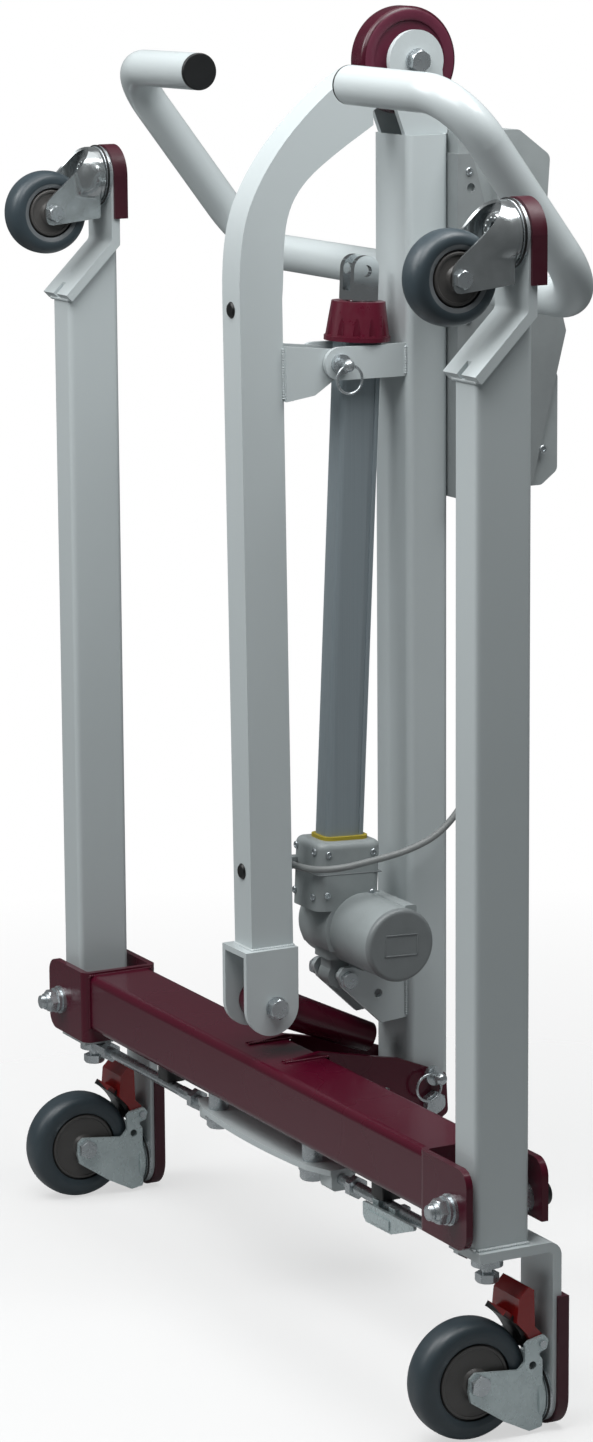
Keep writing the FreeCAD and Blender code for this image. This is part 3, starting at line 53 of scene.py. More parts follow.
class Surface:
    """A node material in the making; every texture lies in the object's own metres."""

    def __init__(self, name, colour, roughness, metallic=0.0):
        self.material = bpy.data.materials.new(name)
        self.material.use_nodes = True
        self.tree = self.material.node_tree
        self.shader = self.tree.nodes["Principled BSDF"]
        self.shader.inputs["Base Color"].default_value = (*colour, 1.0)
        self.shader.inputs["Roughness"].default_value = roughness
        self.shader.inputs["Metallic"].default_value = metallic
        self.place = self.tree.nodes.new("ShaderNodeTexCoord").outputs["Object"]
        self.colour = colour
        self.normal = None

    def link(self, a, b):
        self.tree.links.new(a, b)

    def stretched(self, scale):
        mapping = self.tree.nodes.new("ShaderNodeMapping")
        mapping.inputs["Scale"].default_value = scale
        self.link(self.place, mapping.inputs["Vector"])
        return mapping.outputs["Vector"]

    def noise(self, scale, detail=3.0, rough=0.55, stretch=None):
        """Grey cloud noise; scale is in features per metre."""
        node = self.tree.nodes.new("ShaderNodeTexNoise")
        node.inputs["Scale"].default_value = scale
        node.inputs["Detail"].default_value = detail
        node.inputs["Roughness"].default_value = rough
        self.link(self.stretched(stretch) if stretch else self.place, node.inputs["Vector"])
        return node.outputs["Fac"]

    def span(self, value, low, high, to_low, to_high):
        node = self.tree.nodes.new("ShaderNodeMapRange")
        for name, number in (("From Min", low), ("From Max", high), ("To Min", to_low), ("To Max", to_high)):
            node.inputs[name].default_value = number
        self.link(value, node.inputs["Value"])
        return node.outputs["Result"]

    def tint(self, value, other):
        """Blends the base colour towards another colour where value is high."""
        node = self.tree.nodes.new("ShaderNodeMix")
        node.data_type = "RGBA"
        base = self.shader.inputs["Base Color"]
        if base.is_linked:
            self.link(base.links[0].from_socket, node.inputs["A"])
        else:
            node.inputs["A"].default_value = (*self.colour, 1.0)
        node.inputs["B"].default_value = (*other, 1.0)
        self.link(value, node.inputs["Factor"])
        self.link(node.outputs["Result"], base)

    def roughen(self, value, low, high, to_low, to_high):
        self.link(self.span(value, low, high, to_low, to_high), self.shader.inputs["Roughness"])

    def bump(self, value, distance, strength=1.0):
        node = self.tree.nodes.new("ShaderNodeBump")
        node.inputs["Distance"].default_value = distance
        node.inputs["Strength"].default_value = strength
        self.link(value, node.inputs["Height"])
        if self.normal:
            self.link(self.normal, node.inputs["Normal"])
        self.normal = node.outputs["Normal"]
        self.link(self.normal, self.shader.inputs["Normal"])

    def coat(self, weight, roughness):
        self.shader.inputs["Coat Weight"].default_value = weight
        self.shader.inputs["Coat Roughness"].default_value = roughness


def powder_coat(name, colour, gloss=0.34, coat=0.3, shine=0.5):
    """Glossy powder coat: faint clouding, uneven gloss and a fine orange peel."""
    s = Surface(name, colour, gloss)
    s.tint(s.span(s.noise(5.0, 2.0), 0.35, 0.65, 0.0, 1.0), [c * 0.97 for c in colour])
    s.roughen(s.noise(9.0, 2.0), 0.3, 0.7, gloss - 0.03, gloss + 0.05)
    s.bump(s.noise(900.0, 1.0), 0.00005, 0.12)
    s.coat(coat, 0.12)
    s.shader.inputs["Specular IOR Level"].default_value = shine
    return s.material


def zinc_plate(name, colour, dull, roughness=0.28, metal=0.8):
    """Zinc plated steel: faintly cloudy brightness and fine grain."""
    s = Surface(name, colour, roughness, metal)
    s.tint(s.span(s.noise(60.0, 5.0, 0.6), 0.35, 0.7, 0.0, 1.0), dull)
    s.roughen(s.noise(90.0, 5.0), 0.3, 0.75, roughness - 0.08, roughness + 0.12)
    s.bump(s.noise(900.0, 3.0), 0.00005, 0.35)
    return s.material


def moulded(name, colour, roughness=0.45, grain=1300.0, depth=0.0001):
    """Moulded plastic or rubber with a fine even grain."""
    s = Surface(name, colour, roughness)
    s.tint(s.span(s.noise(40.0, 5.0), 0.4, 0.75, 0.0, 1.0), [c * 0.9 for c in colour])
    s.roughen(s.noise(120.0, 4.0), 0.3, 0.7, roughness - 0.05, roughness + 0.1)
    s.bump(s.noise(grain, 2.0), depth, 0.35)
    return s.material


def anodised(name, colour, shade):
    """Drawn aluminium with long fine die lines along the tube."""
    s = Surface(name, colour, 0.36, 0.35)
    lines = s.noise(1.0, 3.0, 0.6, stretch=(1500.0, 1500.0, 3.0))
    s.tint(s.span(lines, 0.35, 0.7, 0.0, 1.0), shade)
    s.roughen(lines, 0.3, 0.7, 0.3, 0.44)
    s.bump(lines, 0.00003, 0.35)
    return s.material


def polished(name, colour, roughness=0.1):
    """Chrome with faint wiping haze."""
    s = Surface(name, colour, roughness, 1.0)
    s.roughen(s.noise(70.0, 4.0), 0.3, 0.75, roughness * 0.5, roughness * 2)
    s.bump(s.noise(500.0, 2.0), 0.00003, 0.3)
    return s.material


WHITE = powder_coat("white_coat", (0.55, 0.605, 0.615))
MAROON = powder_coat("maroon_coat", (0.072, 0.0025, 0.014), 0.26, 0.22, 0.3)
MAROON_RUBBER = moulded("maroon_rubber", (0.055, 0.004, 0.013), 0.42, 900.0)
MAROON_PLASTIC = moulded("maroon_plastic", (0.10, 0.004, 0.018), 0.3)
# same maroon plastic as the tread; the lighter colour of the wheel faces is a painted sheen
WHEEL_FACE_SHEEN = moulded("wheel_face_painted_sheen", (0.115, 0.02, 0.042), 0.4)
WHEEL_TREAD = moulded("wheel_tread", (0.05, 0.003, 0.012), 0.24, 900.0, 0.00005)
ZINC = zinc_plate("zinc", (0.56, 0.60, 0.62), (0.46, 0.50, 0.52), 0.26)
PRESSED = zinc_plate("pressed_steel", (0.56, 0.65, 0.66), (0.49, 0.57, 0.58), 0.26, 0.4)
HOOD = zinc_plate("hood_steel", (0.52, 0.55, 0.56), (0.43, 0.46, 0.465), 0.17, 0.85)
CHROME = polished("chrome", (0.74, 0.76, 0.77))
RED = powder_coat("brake_red", (0.27, 0.010, 0.010), 0.26)
HUB = moulded("hub_grey", (0.075, 0.072, 0.069), 0.38)
HUB_RING = moulded("hub_ring", (0.15, 0.165, 0.175), 0.34)
TYRE = moulded("tyre_grey", (0.040, 0.057, 0.068), 0.36, 900.0)
BLACK = moulded("black_plastic", (0.006, 0.0065, 0.007), 0.35)
BOX_DARK = moulded("box_dark", (0.27, 0.295, 0.30), 0.42)
BOX_GREY = moulded("box_grey", (0.35, 0.385, 0.39), 0.45)
GEARCASE = moulded("gearcase_grey", (0.32, 0.355, 0.36), 0.38)
MOTOR_END = moulded("motor_end", (0.20, 0.22, 0.225), 0.36, 700.0, 0.0002)
YELLOW = moulded("gasket_yellow", (0.42, 0.33, 0.03), 0.5)
ALUMINIUM = anodised("anodised", (0.33, 0.385, 0.415), (0.29, 0.345, 0.375))
CABLE_GREY = moulded("cable_grey", (0.25, 0.265, 0.265), 0.42)

BY_SLOT = {"white_coat": WHITE, "maroon_coat": MAROON, "maroon_rubber": MAROON_RUBBER,
           "maroon_plastic": MAROON_PLASTIC, "wheel_maroon": WHEEL_FACE_SHEEN, "zinc": ZINC,
           "pressed_steel": PRESSED, "chrome": CHROME, "pedal_white": WHITE, "brake_red": RED,
           "hub_grey": HUB, "tyre_grey": TYRE, "black_plastic": BLACK, "box_dark": BOX_DARK,
           "box_grey": BOX_GREY, "gearcase_grey": GEARCASE, "gasket_yellow": YELLOW,
           "anodised": ALUMINIUM, "cable_grey": CABLE_GREY}

for part in frame["record"]["subparts"]:
    mesh = nodes[part["node"]].data
    mesh.materials.clear()
    mesh.materials.append(BY_SLOT[part["material_slot"]])


def repaint(node, material, inside):
    """Gives another material to the faces of a CAD node whose centre passes the test."""
    mesh = nodes[node].data
    mesh.materials.append(material)
    for face in mesh.polygons:
        if inside(face.center):
            face.material_index = len(mesh.materials) - 1


# ---------------------------------------------------------------- measures

FRAME_Y = -0.09317  # the leg plane in the shared frame
MM = 0.001
LEG_X = 0.366       # middle of each leg, in metres and in millimetres
LEG_X_MM = 366
KING_Z_MM = 963.0   # axis of the front king pins


def place(x, y, z):
    """A point from the part's drawing, in mm with the leg plane at y = 0."""
    return Vector((x * MM, y * MM + FRAME_Y, z * MM))


# ---------------------------------------------------------------- mesh helpers

def new_piece(name, bm, materials, body, angle=32.0):
    """Turns a bmesh into a smooth-shaded piece that rides on a body."""
    bmesh.ops.remove_doubles(bm, verts=bm.verts, dist=1e-6)
    bmesh.ops.recalc_face_normals(bm, faces=bm.faces)
    mesh = bpy.data.meshes.new(name)
    bm.to_mesh(mesh)
    bm.free()
    for material in materials:
        mesh.materials.append(material)
    for face in mesh.polygons:
        face.use_smooth = True
    mesh.set_sharp_from_angle(angle=math.radians(angle))
    piece = bpy.data.objects.new(name, mesh)
    bpy.context.collection.objects.link(piece)
    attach(piece, body)
    return piece


def frame_on(axis):
    """Two unit vectors square to an axis."""
    side = Vector((0, 0, 1)) if abs(axis.z) < 0.9 else Vector((0, 1, 0))
    u = axis.cross(side).normalized()
    return u, axis.cross(u)


def add_lathe(bm, outline, centre, axis, steps=96, paint=None):
    """Turns a closed outline of (along, radius) in mm round an axis; paint(along, radius) picks the slot."""
    axis = Vector(axis).normalized()
    u, v = frame_on(axis)
    rings = []
    for along, radius in outline:
        ring = []
        for i in range(steps):
            a = 2 * math.pi * i / steps
            out = u * math.cos(a) + v * math.sin(a)
            ring.append(bm.verts.new(centre + axis * along * MM + out * radius * MM))
        rings.append(ring)
    count = len(rings)
    for j in range(count):
        a, b = rings[j], rings[(j + 1) % count]
        along = (outline[j][0] + outline[(j + 1) % count][0]) / 2
        radius = (outline[j][1] + outline[(j + 1) % count][1]) / 2
        for i in range(steps):
            k = (i + 1) % steps
            face = bm.faces.new((a[i], a[k], b[k], b[i]))
            if paint:
                face.material_index = paint(along, radius)


def add_tube(bm, points, radius, steps=10, wobble=0.0, pitch=0.0022):
    """Closed tube along straight runs between points; wobble ripples it like a weld bead."""
    path = []
    for a, b in zip(points, points[1:]):
        n = max(1, int((b - a).length / (pitch / 4))) if wobble else 1
        path += [a.lerp(b, i / n) for i in range(n)]
    path.append(points[-1])
    rings = []
    for i, p in enumerate(path):
        d = (path[min(i + 1, len(path) - 1)] - path[max(i - 1, 0)]).normalized()
        u, v = frame_on(d)
        r = radius * (1 + wobble * math.sin(i * math.pi / 2) + wobble * random.uniform(-0.4, 0.4))
        if i in (0, len(path) - 1):
            r *= 0.55
        rings.append([bm.verts.new(p + (u * math.cos(2 * math.pi * k / steps)
                                        + v * math.sin(2 * math.pi * k / steps)) * r) for k in range(steps)])
    for a, b in zip(rings, rings[1:]):
        for k in range(steps):
            n = (k + 1) % steps
            bm.faces.new((a[k], a[n], b[n], b[k]))
    bm.faces.new(rings[0][::-1])
    bm.faces.new(rings[-1])


def add_block(bm, low, high, round_mm=0.0):
    """Box between two corners with its edges rounded."""
    part = bmesh.new()
    bmesh.ops.create_cube(part, size=1.0)
    for v in part.verts:
        for i in range(3):
            v.co[i] = (low[i] + high[i]) / 2 + v.co[i] * (high[i] - low[i])
    if round_mm:
        bmesh.ops.bevel(part, geom=part.edges[:], offset=round_mm * MM, segments=3, profile=0.5,
                        affect="EDGES")
    mesh = bpy.data.meshes.new("block")
    part.to_mesh(mesh)
    part.free()
    bm.from_mesh(mesh)
    bpy.data.meshes.remove(mesh)


def blocks(name, boxes, round_mm, material, body):
    """One piece made of rounded boxes given in drawing mm."""
    bm = bmesh.new()
    for x0, x1, y0, y1, z0, z1 in boxes:
        add_block(bm, place(x0, y0, z0), place(x1, y1, z1), round_mm)
    return new_piece(name, bm, [material], body)


def beads(name, runs, radius, material, body):
    """Weld beads along runs of points given in drawing mm."""
    bm = bmesh.new()
    for run in runs:
        add_tube(bm, [place(*p) for p in run], radius * MM, 10, 0.16)
    return new_piece(name, bm, [material], body, 60.0)


def both_ways(runs):
    return runs + [[(-x, y, z) for x, y, z in run] for run in runs]


# ---------------------------------------------------------------- wheels

def crown(half, radius, depth, power=2.7, steps=14):
    """Half of a rounded tread, from the middle of the tread down to its shoulder."""
    points = []
    for i in range(steps + 1):
        a = math.pi / 2 * (1 - i / steps)
        along = half * math.cos(a) ** (2 / power)
        points.append((along, radius - depth + depth * math.sin(a) ** (2 / power)))
    return points


def mirror_outline(half):
    """Closes an outline that is given from the middle outwards on one side."""
    return half + [(-a, r) for a, r in reversed(half) if a > 1e-9]


def make_wheel(name, side, y, z, radius, half, rim, bore, ring):
    """Caster wheel: crowned tyre with a black seam round a flat moulded centre."""
    sign = 1 if side == "right" else -1
    centre = place(LEG_X_MM * sign, y, z)
    tread = crown(half - 0.05, radius - 0.05, (radius - rim) * 0.62)
    tyre = tread + [(half - 0.1, rim + 6), (half - 0.5, rim + 5.0), (half - 1.0, rim + 2.2),
                    (half - 1.6, rim + 1.3), (half - 4.0, rim + 1.0), (half - 4.0, rim)]
    bm = bmesh.new()
    add_lathe(bm, mirror_outline(tyre), centre, (1, 0, 0), 112,
              lambda a, r: 1 if r < rim + 1.75 else (2 if r < rim + ring else 0))
    piece = new_piece(name + "_tyre_piece_" + side, bm, [TYRE, BLACK, HUB_RING], name + "_wheel_" + side,
                      50.0)
    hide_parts(name + "_tyre_" + side)
    hub = [(0, rim - 0.05), (half - 3.0, rim - 0.05), (half - 1.6, rim - 0.5), (half - 1.2, rim - 1.2),
           (half - 1.2, rim - 2.6), (half - 1.9, rim - 3.2), (half - 2.1, rim - 4.5),
           (half - 2.1, bore + 9.0), (half - 1.6, bore + 7.0), (half + 0.8, bore + 5.4),
           (half + 1.2, bore + 4.8), (half + 1.2, bore), (0, bore)]
    bm = bmesh.new()
    add_lathe(bm, mirror_outline(hub), centre, (1, 0, 0), 96)
    piece = new_piece(name + "_hub_piece_" + side, bm, [HUB], name + "_wheel_" + side, 28.0)
    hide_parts(name + "_hub_" + side)


def make_top_wheel():
    """Stair wheel of one maroon plastic: glossy tread, and satin faces with a dished web whose lighter colour
    is a painted sheen.
    """
    half = 12.0
    radius = 45.45
    edge = [(half - 4.5 + 4.5 * math.sin(a), radius - 4.5 + 4.5 * math.cos(a))
            for a in [math.pi / 2 * i / 8 for i in range(9)]]
    face = [(0, radius), (half - 7, radius)] + edge + [
        (half, 35.5), (half - 0.6, 34.0), (half - 2.2, 33.2), (half - 2.6, 31.0), (half - 2.9, 20.0),
        (half - 2.4, 16.0), (half - 0.6, 14.6), (half, 13.6), (half, 5.05), (0, 5.05)]
    bm = bmesh.new()
    # faces get the lighter colour with the painted sheen, the outer tread the darker maroon
    add_lathe(bm, mirror_outline(face), place(0, 127.5, 1077.5), (1, 0, 0), 128,
              lambda a, r: 1 if r > radius - 2.6 else 0)
    piece = new_piece("top_wheel_piece", bm, [WHEEL_FACE_SHEEN, WHEEL_TREAD], "stair_wheel", 30.0)
    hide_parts("top_wheel")


for side in SIDES:
    make_wheel("front", side, -39.0, 932.0, 37.5, 15.0, 21.0, 4.05, 5.2)
    make_wheel("rear", side, -23.5, 50.0, 50.0, 16.0, 31.0, 5.05, 0.0)
make_top_wheel()


# ---------------------------------------------------------------- front caster hoods

HOOD_R = 25.0
HOOD_FLAT = 18.6
HOOD_EDGE = [(9.0, 989.5), (4.0, 988.6), (0.0, 985.5), (-4.0, 981.0), (-8.0, 976.3), (-14.0, 970.0),
             (-22.0, 962.8), (-30.0, 956.2), (-38.0, 949.8), (-43.5, 944.6), (-45.8, 941.4), (-46.8, 938.0)]
HOOD_FOOT = [(9.0, 946.0), (7.6, 946.0), (7.0, 926.2), (4.0, 925.6), (-40.0, 921.2), (-44.0, 922.0),
             (-46.0, 924.2), (-46.8, 928.0)]


def height_at(line, y):
    for (y0, z0), (y1, z1) in zip(line, line[1:]):
        if y1 <= y <= y0:
            return z0 + (z1 - z0) * (y0 - y) / (y0 - y1)
    return line[-1][1]


def hood_point(y, q):
    """Middle of the pressed sheet: a round rim easing into flat cheeks; q runs up the section."""
    ease = min(1.0, max(0.0, (5.0 - y) / 24.0))
    ease = ease * ease * (3 - 2 * ease)
    turn = (q - KING_Z_MM) / HOOD_R
    if turn > 0:
        reach = (HOOD_R + (HOOD_FLAT - HOOD_R) * ease) * math.cos(turn)
        return (reach, y, KING_Z_MM + HOOD_R * math.sin(turn))
    round_x = max(HOOD_FLAT, math.sqrt(max(0.0, HOOD_R ** 2 - (q - KING_Z_MM) ** 2)))
    return (round_x + (HOOD_FLAT - round_x) * ease, y, q)


def up_section(z):
    """Distance up the hood's section of a height z."""
    if z <= KING_Z_MM:
        return z
    return KING_Z_MM + HOOD_R * math.asin(min(1.0, (z - KING_Z_MM) / HOOD_R))


def add_cheek(bm, sign, hand, thick=1.2, rows=30):
    """One cheek of the hood as a closed sheet, evenly thick."""
    ys = [9.0, 8.3, 7.6, 7.3, 7.0, 5.5] + [4.0 - 1.0 * i for i in range(45)]
    ys += [-41.8, -43.0, -44.0, -45.0, -45.8, -46.4, -46.8]
    ys = sorted(set(ys), reverse=True)
    outer, inner = [], []
    for y in ys:
        low = up_section(height_at(HOOD_FOOT, y))
        high = up_section(height_at(HOOD_EDGE, y))
        out_row, in_row = [], []
        for i in range(rows + 1):
            q = low + (high - low) * i / rows
            here = Vector(hood_point(y, q))
            along = Vector(hood_point(y - 0.4, q)) - Vector(hood_point(y + 0.4, q))
            rise = Vector(hood_point(y, q + 0.3)) - Vector(hood_point(y, q - 0.3))
            normal = rise.cross(along).normalized()
            if normal.x < -0.01:
                normal = -normal
            for row, shift in ((out_row, thick), (in_row, -thick)):
                p = here + normal * shift
                row.append(bm.verts.new(place(LEG_X_MM * sign + hand * p.x, p.y, p.z)))
        outer.append(out_row)
        inner.append(in_row)
    last = len(ys) - 1
    for j in range(last):
        for i in range(rows):
            bm.faces.new((outer[j][i], outer[j + 1][i], outer[j + 1][i + 1], outer[j][i + 1]))
            bm.faces.new((inner[j][i], inner[j][i + 1], inner[j + 1][i + 1], inner[j + 1][i]))
        bm.faces.new((outer[j][0], inner[j][0], inner[j + 1][0], outer[j + 1][0]))
        bm.faces.new((outer[j][rows], outer[j + 1][rows], inner[j + 1][rows], inner[j][rows]))
    for i in range(rows):
        bm.faces.new((outer[0][i], outer[0][i + 1], inner[0][i + 1], inner[0][i]))
        bm.faces.new((outer[last][i], inner[last][i], inner[last][i + 1], outer[last][i + 1]))


def make_hood(side):
    """Front caster fork: round pressed hood with a ball cup, flowing into two flat cheeks."""
    sign = 1 if side == "right" else -1
    centre = place(LEG_X_MM * sign, 0, KING_Z_MM)
    bm = bmesh.new()
    for hand in (1, -1):
        add_cheek(bm, sign, hand)
    cup = [(11.2, 20.0), (11.2, 25.2), (10.7, 25.9), (9.9, 26.1), (4.6, 26.1), (3.9, 25.8), (3.5, 25.2),
           (3.4, 24.2), (3.4, 19.5), (2.9, 18.2), (0.4, 16.6), (-0.6, 15.6), (-0.9, 14.2), (-0.9, 10.4),
           (-0.5, 9.4), (0.6, 9.0), (4.7, 9.0), (4.7, 5.1), (6.2, 5.1), (6.8, 20.0)]
    add_lathe(bm, cup, centre, (0, 1, 0), 112)
    for i in range(14):
        a = 2 * math.pi * i / 14
        spot = centre + Vector((math.cos(a) * 12.4, -0.7, math.sin(a) * 12.4)) * MM
        add_lathe(bm, [(0.4, 0.2), (0.4, 1.5), (-0.2, 1.3), (-0.6, 0.8), (-0.75, 0.2)], spot, (0, 1, 0), 14)
    piece = new_piece("front_hood_" + side, bm, [HOOD], "front_caster_" + side, 34.0)
    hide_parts("front_fork_" + side)


for side in SIDES:
    make_hood(side)


# ---------------------------------------------------------------- seals, threads and small fittings

def seal_ring(name, side, y0, y1, z, r_in, r_out):
    sign = 1 if side == "right" else -1
    outline = [(y0, r_in), (y0, r_out - 0.5), (y0 + 0.5, r_out), (y1 - 0.5, r_out), (y1, r_out - 0.5),
               (y1, r_in)]
    bm = bmesh.new()
    add_lathe(bm, outline, place(LEG_X_MM * sign, 0, z), (0, 1, 0), 96)
    new_piece(name + "_" + side, bm, [BLACK], "leg_" + side)


def threads(name, starts, axis, length, r, pitch, body):
    """Rolled threads standing a little proud of bolt ends."""
    outline = [(0, r - 0.6)]
    n = int(length / pitch)
    for i in range(n):
        outline += [(i * pitch + 0.05, r), (i * pitch + pitch / 2, r + 0.34), (i * pitch + pitch - 0.05, r)]
    outline.append((n * pitch, r - 0.6))
    bm = bmesh.new()
    for start in starts:
        add_lathe(bm, outline, place(*start), axis, 40)
    new_piece(name, bm, [ZINC], body, 20.0)


for side in SIDES:
    seal_ring("front_seal", side, 11.6, 13.9, KING_Z_MM, 27.02, 27.7)
    seal_ring("rear_seal", side, 38.1, 40.4, 28.0, 25.52, 26.3)

for x, side in ((1, "right"), (-1, "left")):
    threads("leg_bolt_thread_" + side, [(LEG_X_MM * x, -58.8, 193)], (0, 1, 0), 4.0, 5.98, 1.0, "base")
threads("mast_bolt_thread", [(-46.0, 135, 172)], (1, 0, 0), 3.0, 5.98, 1.0, "base")
for x, side in ((1, "right"), (-1, "left")):
    threads("tie_rod_thread_" + side, [(153.0 * x, -4, 146)], (x, 0, 0), 26.0, 4.98, 1.0, "spreader_" + side)

# the saddles under the cross bar that keep the tie rods straight
for x, side in ((1, "right"), (-1, "left")):
    lo, hi = sorted((191 * x, 211 * x))
    blocks("rod_saddle_" + side, [(lo, hi, -13, 5, 151.4, 172.9)], 1.2, BLACK, "base")

repaint("base_bolts", BLACK, lambda c: c.y > 0.0399 + FRAME_Y and abs(c.x) > 0.3)
repaint("actuator_housing", MOTOR_END, lambda c: c.x > 0.0868)
repaint("spread_pedal", PRESSED, lambda c: True)
for side in SIDES:
    repaint("brake_pedal_" + side, BLACK,
            lambda c: (c.y - FRAME_Y + 0.0235) ** 2 + (c.z - 0.05) ** 2 < 0.0600 ** 2
            and abs(abs(c.x) - LEG_X) < 0.0144)


# ---------------------------------------------------------------- welds

for x, side in ((1, "right"), (-1, "left")):
    beads("leg_welds_" + side,
          [[(341.5 * x, -25.4, 859.0), (348 * x, -25.6, 852.6), (384 * x, -25.6, 852.6),
            (390.5 * x, -25.4, 859.0)],
           [(348.2 * x, -25.4, 160.4), (383.8 * x, -25.4, 160.4)],
           [(384.4 * x, -24, 160.6), (384.4 * x, 24, 160.6)],
           [(347.6 * x, -24, 160.6), (347.6 * x, 24, 160.6)]],
          1.5, WHITE, "leg_" + side)
beads("frame_welds",
      both_ways([[(313.2, -32.4, 176), (313.2, -32.4, 226.5), (313.2, 32.4, 226.8)],
                 [(31.2, -12, 227.6), (31.2, 31, 227.6)], [(36.4, -12, 227.4), (36.4, 31, 227.4)]]),
      1.3, MAROON, "base")
beads("boom_welds", [[(-16.2, -32.2, 325.2), (16.2, -32.2, 325.2), (16.2, 8.2, 325.2), (-16.2, 8.2, 325.2),
                      (-16.2, -32.2, 325.2)],
                     [(16.6, 2.9, 799), (16.6, 2.4, 842)], [(-16.6, 2.9, 799), (-16.6, 2.4, 842)]],
      1.4, WHITE, "boom")
beads("mast_welds",
      both_ways([[(26.2, 114.6, 815), (26.2, 114.6, 839)], [(21.2, 114.6, 815), (21.2, 114.6, 839)],
                 [(25.2, 114.6, 251), (25.2, 114.6, 294)], [(19.8, 114.6, 251), (19.8, 114.6, 294)]]),
      1.3, WHITE, "mast")


def collar_beads(name, centres, axis, ring_mm, radius, material, body):
    bm = bmesh.new()
    u, v = frame_on(Vector(axis))
    for centre in centres:
        c = place(*centre)
        points = [c + (u * math.cos(2 * math.pi * i / 48) + v * math.sin(2 * math.pi * i / 48)) * ring_mm * MM
                  for i in range(49)]
        add_tube(bm, points, radius * MM, 10, 0.14)
    new_piece(name, bm, [material], body, 60.0)


collar_beads("handle_welds", [(30.4, 135.5, 897), (-30.4, 135.5, 897)], (1, 0, 0), 16.2, 1.5, WHITE,
             "mast")


# ---------------------------------------------------------------- gear case, control box and battery details

ACT_PIVOT = place(0, 57, 290)
ACT_LEAN = Matrix.Rotation(math.radians(-2.6), 4, "X")


def leaned(bm):
    for v in bm.verts:
        v.co = ACT_PIVOT + ACT_LEAN @ (v.co - ACT_PIVOT)


def make_gear_details():
    """Raised panel lines on the motor end, and screws and a seam on the gear block."""
    bm = bmesh.new()
    lines = ((54, 86, 343, 344.2), (54, 86, 325, 326.2), (54, 55.2, 325, 344), (84.8, 86, 325, 344))
    for y0, y1, z0, z1 in lines:
        add_block(bm, place(92.6, y0, z0), place(93.5, y1, z1), 0.3)
    leaned(bm)
    new_piece("motor_end_panel", bm, [MOTOR_END], "actuator")
    bm = bmesh.new()
    for x in (-16.5, 16.5):
        for z in (364, 404):
            head = [(0, 0.3), (0, 3.2), (-1.2, 3.2), (-1.7, 2.7), (-1.7, 1.9), (-0.9, 1.6), (-0.9, 0.3)]
            add_lathe(bm, head, place(x, 24.2, z), (0, 1, 0), 24)
    for y in (34, 78):
        for z in (366, 402):
            add_lathe(bm, [(0, 0.3), (0, 3.0), (1.1, 3.0), (1.5, 2.6), (1.5, 1.8), (0.8, 1.5), (0.8, 0.3)],
                      place(23.9, y, z), (1, 0, 0), 24)
    leaned(bm)
    new_piece("gear_case_screws", bm, [ZINC], "actuator", 25.0)
    bm = bmesh.new()
    add_block(bm, place(-24.25, 23.75, 383.4), place(24.25, 87.25, 384.4), 0.35)
    leaned(bm)
    new_piece("gear_case_seam", bm, [MOTOR_END], "actuator")


def make_box_details():
    """Vents and a seam on the control box, and screws in the sides of its cradle."""
    vents = [(-30, 30, 246.2 + k * 0.62, 247.6 + k * 0.62, 905 + k * 8.0, 908 + k * 8.0) for k in range(6)]
    blocks("control_box_vents", vents, 0.4, BOX_DARK, "mast")
    blocks("control_box_seam", [(-50.3, 50.3, 190.6, 191.8, 888, 1018.6)], 0.3, BOX_DARK, "mast")
    bm = bmesh.new()
    for x in (-44.8, 44.8):
        for y, z in ((166, 726), (166, 860), (166, 985), (240, 744)):
            sign = 1 if x > 0 else -1
            add_lathe(bm, [(0, 0.3), (0, 3.4), (1.2 * sign, 3.4), (1.7 * sign, 2.9), (1.7 * sign, 1.9),
                           (0.9 * sign, 1.6), (0.9 * sign, 0.3)], place(x, y, z), (1, 0, 0), 24)
    new_piece("cradle_screws", bm, [ZINC], "mast", 25.0)


make_gear_details()
make_box_details()


# ---------------------------------------------------------------- cable

CABLE_POINTS = [(-11.6, 20.5, 390.2), (20, 18.5, 391.5), (42, 38, 394), (47, 70, 399), (47, 106, 404),
                (50, 137, 417), (51, 163, 447), (47, 182, 487), (41, 193, 537), (35, 199, 590),
                (31, 201.5, 640), (30, 202, 675), (30, 202, 706.7)]
CABLE_R = 0.003


def make_cable():
    curve = bpy.data.curves.new("cable", "CURVE")
    curve.dimensions = "3D"
    curve.bevel_depth = CABLE_R
    curve.bevel_resolution = 6
    curve.resolution_u = 16
    curve.use_fill_caps = True
    spline = curve.splines.new("NURBS")
    spline.points.add(len(CABLE_POINTS) - 1)
    for point, drawn in zip(spline.points, CABLE_POINTS):
        point.co = (*place(*drawn), 1.0)
    spline.order_u = 3
    spline.use_endpoint_u = True
    cable = bpy.data.objects.new("cable", curve)
    bpy.context.collection.objects.link(cable)
    curve.materials.append(CABLE_GREY)
    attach(cable, "mast")
    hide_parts("actuator_cable")


make_cable()


# ---------------------------------------------------------------- floor, light and camera

LIGHTS = {
    "top": ((0.0, -0.2, 3.0), (0, 0, 0.6), (2.4, 2.4), 26.0),
    "front_left": ((-1.6, -3.4, 2.6), (0, 0, 0.6), (1.8, 1.8), 24.0),
    "near_left": ((-0.7, -1.3, 2.0), (-0.2, 0, 0.7), (0.9, 0.9), 13.0),
    "near_front": ((0.1, -1.2, 2.0), (0, 0, 0.7), (0.9, 0.9), 3.0),
    "near_mid": ((0.55, -0.8, 2.0), (0, 0, 0.7), (0.9, 0.9), 13.0),
    "near_back": ((0.6, 0.3, 2.1), (0, 0, 0.7), (0.9, 0.9), 16.0),
}
WORLD_LIGHT = 0.12


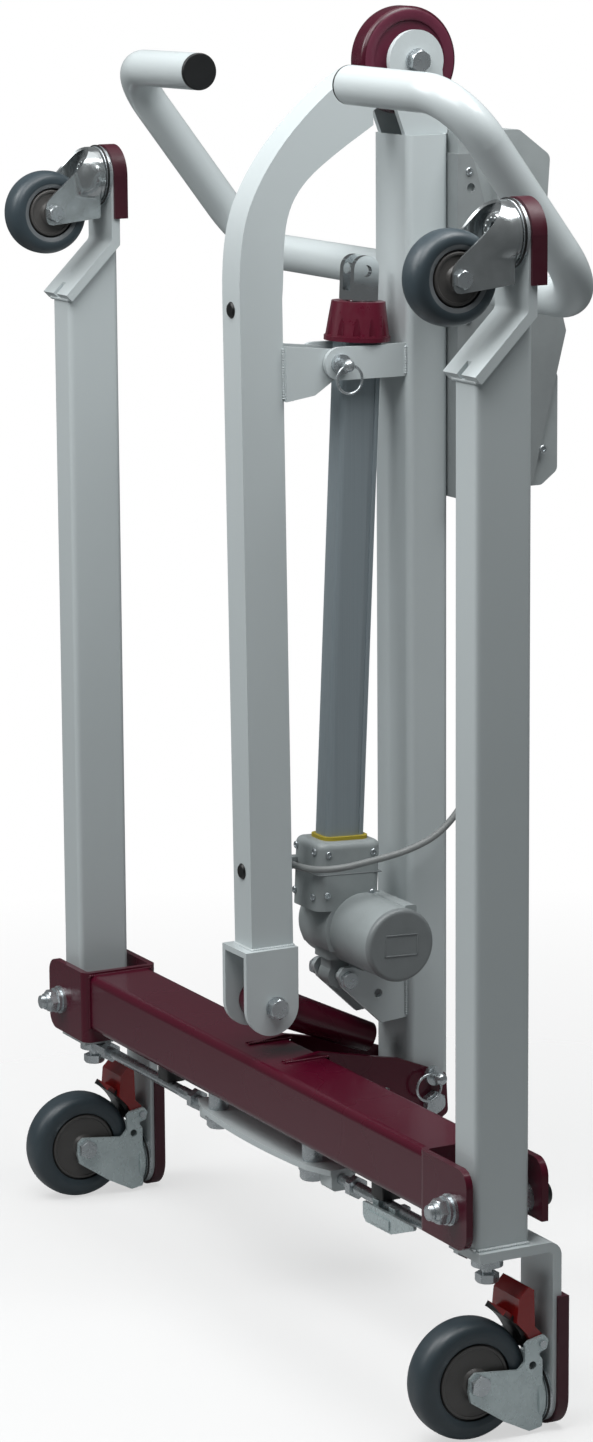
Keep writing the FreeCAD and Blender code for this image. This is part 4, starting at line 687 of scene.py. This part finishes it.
def make_floor():
    """Pale floor that fades into the white surround away from the object."""
    s = Surface("floor_pale", (0.88, 0.885, 0.89), 0.6)
    s.tint(s.span(s.noise(1.5), 0.35, 0.7, 0.0, 1.0), (0.86, 0.865, 0.87))
    clear = s.tree.nodes.new("ShaderNodeBsdfTransparent")
    blend = s.tree.nodes.new("ShaderNodeMixShader")
    distance = s.tree.nodes.new("ShaderNodeVectorMath")
    distance.operation = "LENGTH"
    s.link(s.place, distance.inputs[0])
    s.link(s.span(distance.outputs["Value"], 0.5, 1.5, 0.6, 1.0), blend.inputs["Fac"])
    s.link(s.shader.outputs["BSDF"], blend.inputs[1])
    s.link(clear.outputs["BSDF"], blend.inputs[2])
    s.link(blend.outputs["Shader"], s.tree.nodes["Material Output"].inputs["Surface"])
    bpy.ops.mesh.primitive_circle_add(vertices=96, radius=1.6, fill_type="NGON", location=(0, 0, 0))
    floor = bpy.context.object
    floor.name = "floor"
    floor.data.materials.append(s.material)


def area_light(name, spot, target, size, power):
    light = bpy.data.lights.new(name, "AREA")
    light.shape = "RECTANGLE"
    light.size, light.size_y = size
    light.energy = power
    lamp = bpy.data.objects.new(name, light)
    lamp.location = spot
    lamp.rotation_euler = (Vector(target) - Vector(spot)).to_track_quat("-Z", "Y").to_euler()
    lamp.visible_camera = False
    bpy.context.collection.objects.link(lamp)


def make_lights():
    """Soft boxes, and a surround that looks white but lights the object only a little."""
    for name, (spot, target, size, power) in LIGHTS.items():
        area_light(name, spot, target, size, power)
    world = bpy.data.worlds.new("studio")
    world.use_nodes = True
    tree = world.node_tree
    soft = tree.nodes["Background"]
    soft.inputs["Color"].default_value = (0.93, 0.98, 1.0, 1.0)
    soft.inputs["Strength"].default_value = WORLD_LIGHT
    seen = tree.nodes.new("ShaderNodeBackground")
    seen.inputs["Color"].default_value = (1.0, 1.0, 1.0, 1.0)
    seen.inputs["Strength"].default_value = 1.0
    path = tree.nodes.new("ShaderNodeLightPath")
    mix = tree.nodes.new("ShaderNodeMixShader")
    tree.links.new(path.outputs["Is Camera Ray"], mix.inputs["Fac"])
    tree.links.new(soft.outputs["Background"], mix.inputs[1])
    tree.links.new(seen.outputs["Background"], mix.inputs[2])
    tree.links.new(mix.outputs["Shader"], tree.nodes["World Output"].inputs["Surface"])
    bpy.context.scene.world = world


CAMERA_PLACE = Vector((3.1734, -1.6647 + FRAME_Y, 1.243))
CAMERA_AZIMUTH = math.radians(62.019)
CAMERA_DROP = math.radians(11.400)
CAMERA_ROLL = math.radians(-0.397)
CAMERA_LENS = 106.5


def make_camera():
    data = bpy.data.cameras.new("camera")
    data.lens = CAMERA_LENS
    data.sensor_width = 36.0
    data.clip_end = 100.0
    camera = bpy.data.objects.new("camera", data)
    back = Vector((math.sin(CAMERA_AZIMUTH) * math.cos(CAMERA_DROP),
                   -math.cos(CAMERA_AZIMUTH) * math.cos(CAMERA_DROP), math.sin(CAMERA_DROP)))
    right = Vector((math.cos(CAMERA_AZIMUTH), math.sin(CAMERA_AZIMUTH), 0.0))
    up = back.cross(right)
    turned_right = right * math.cos(CAMERA_ROLL) + up * math.sin(CAMERA_ROLL)
    turned_up = up * math.cos(CAMERA_ROLL) - right * math.sin(CAMERA_ROLL)
    axes = Matrix((turned_right, turned_up, back)).transposed()
    camera.matrix_world = Matrix.Translation(CAMERA_PLACE) @ axes.to_4x4()
    bpy.context.collection.objects.link(camera)
    bpy.context.scene.camera = camera


make_floor()
make_lights()
make_camera()
bpy.context.scene.view_settings.view_transform = "Standard"
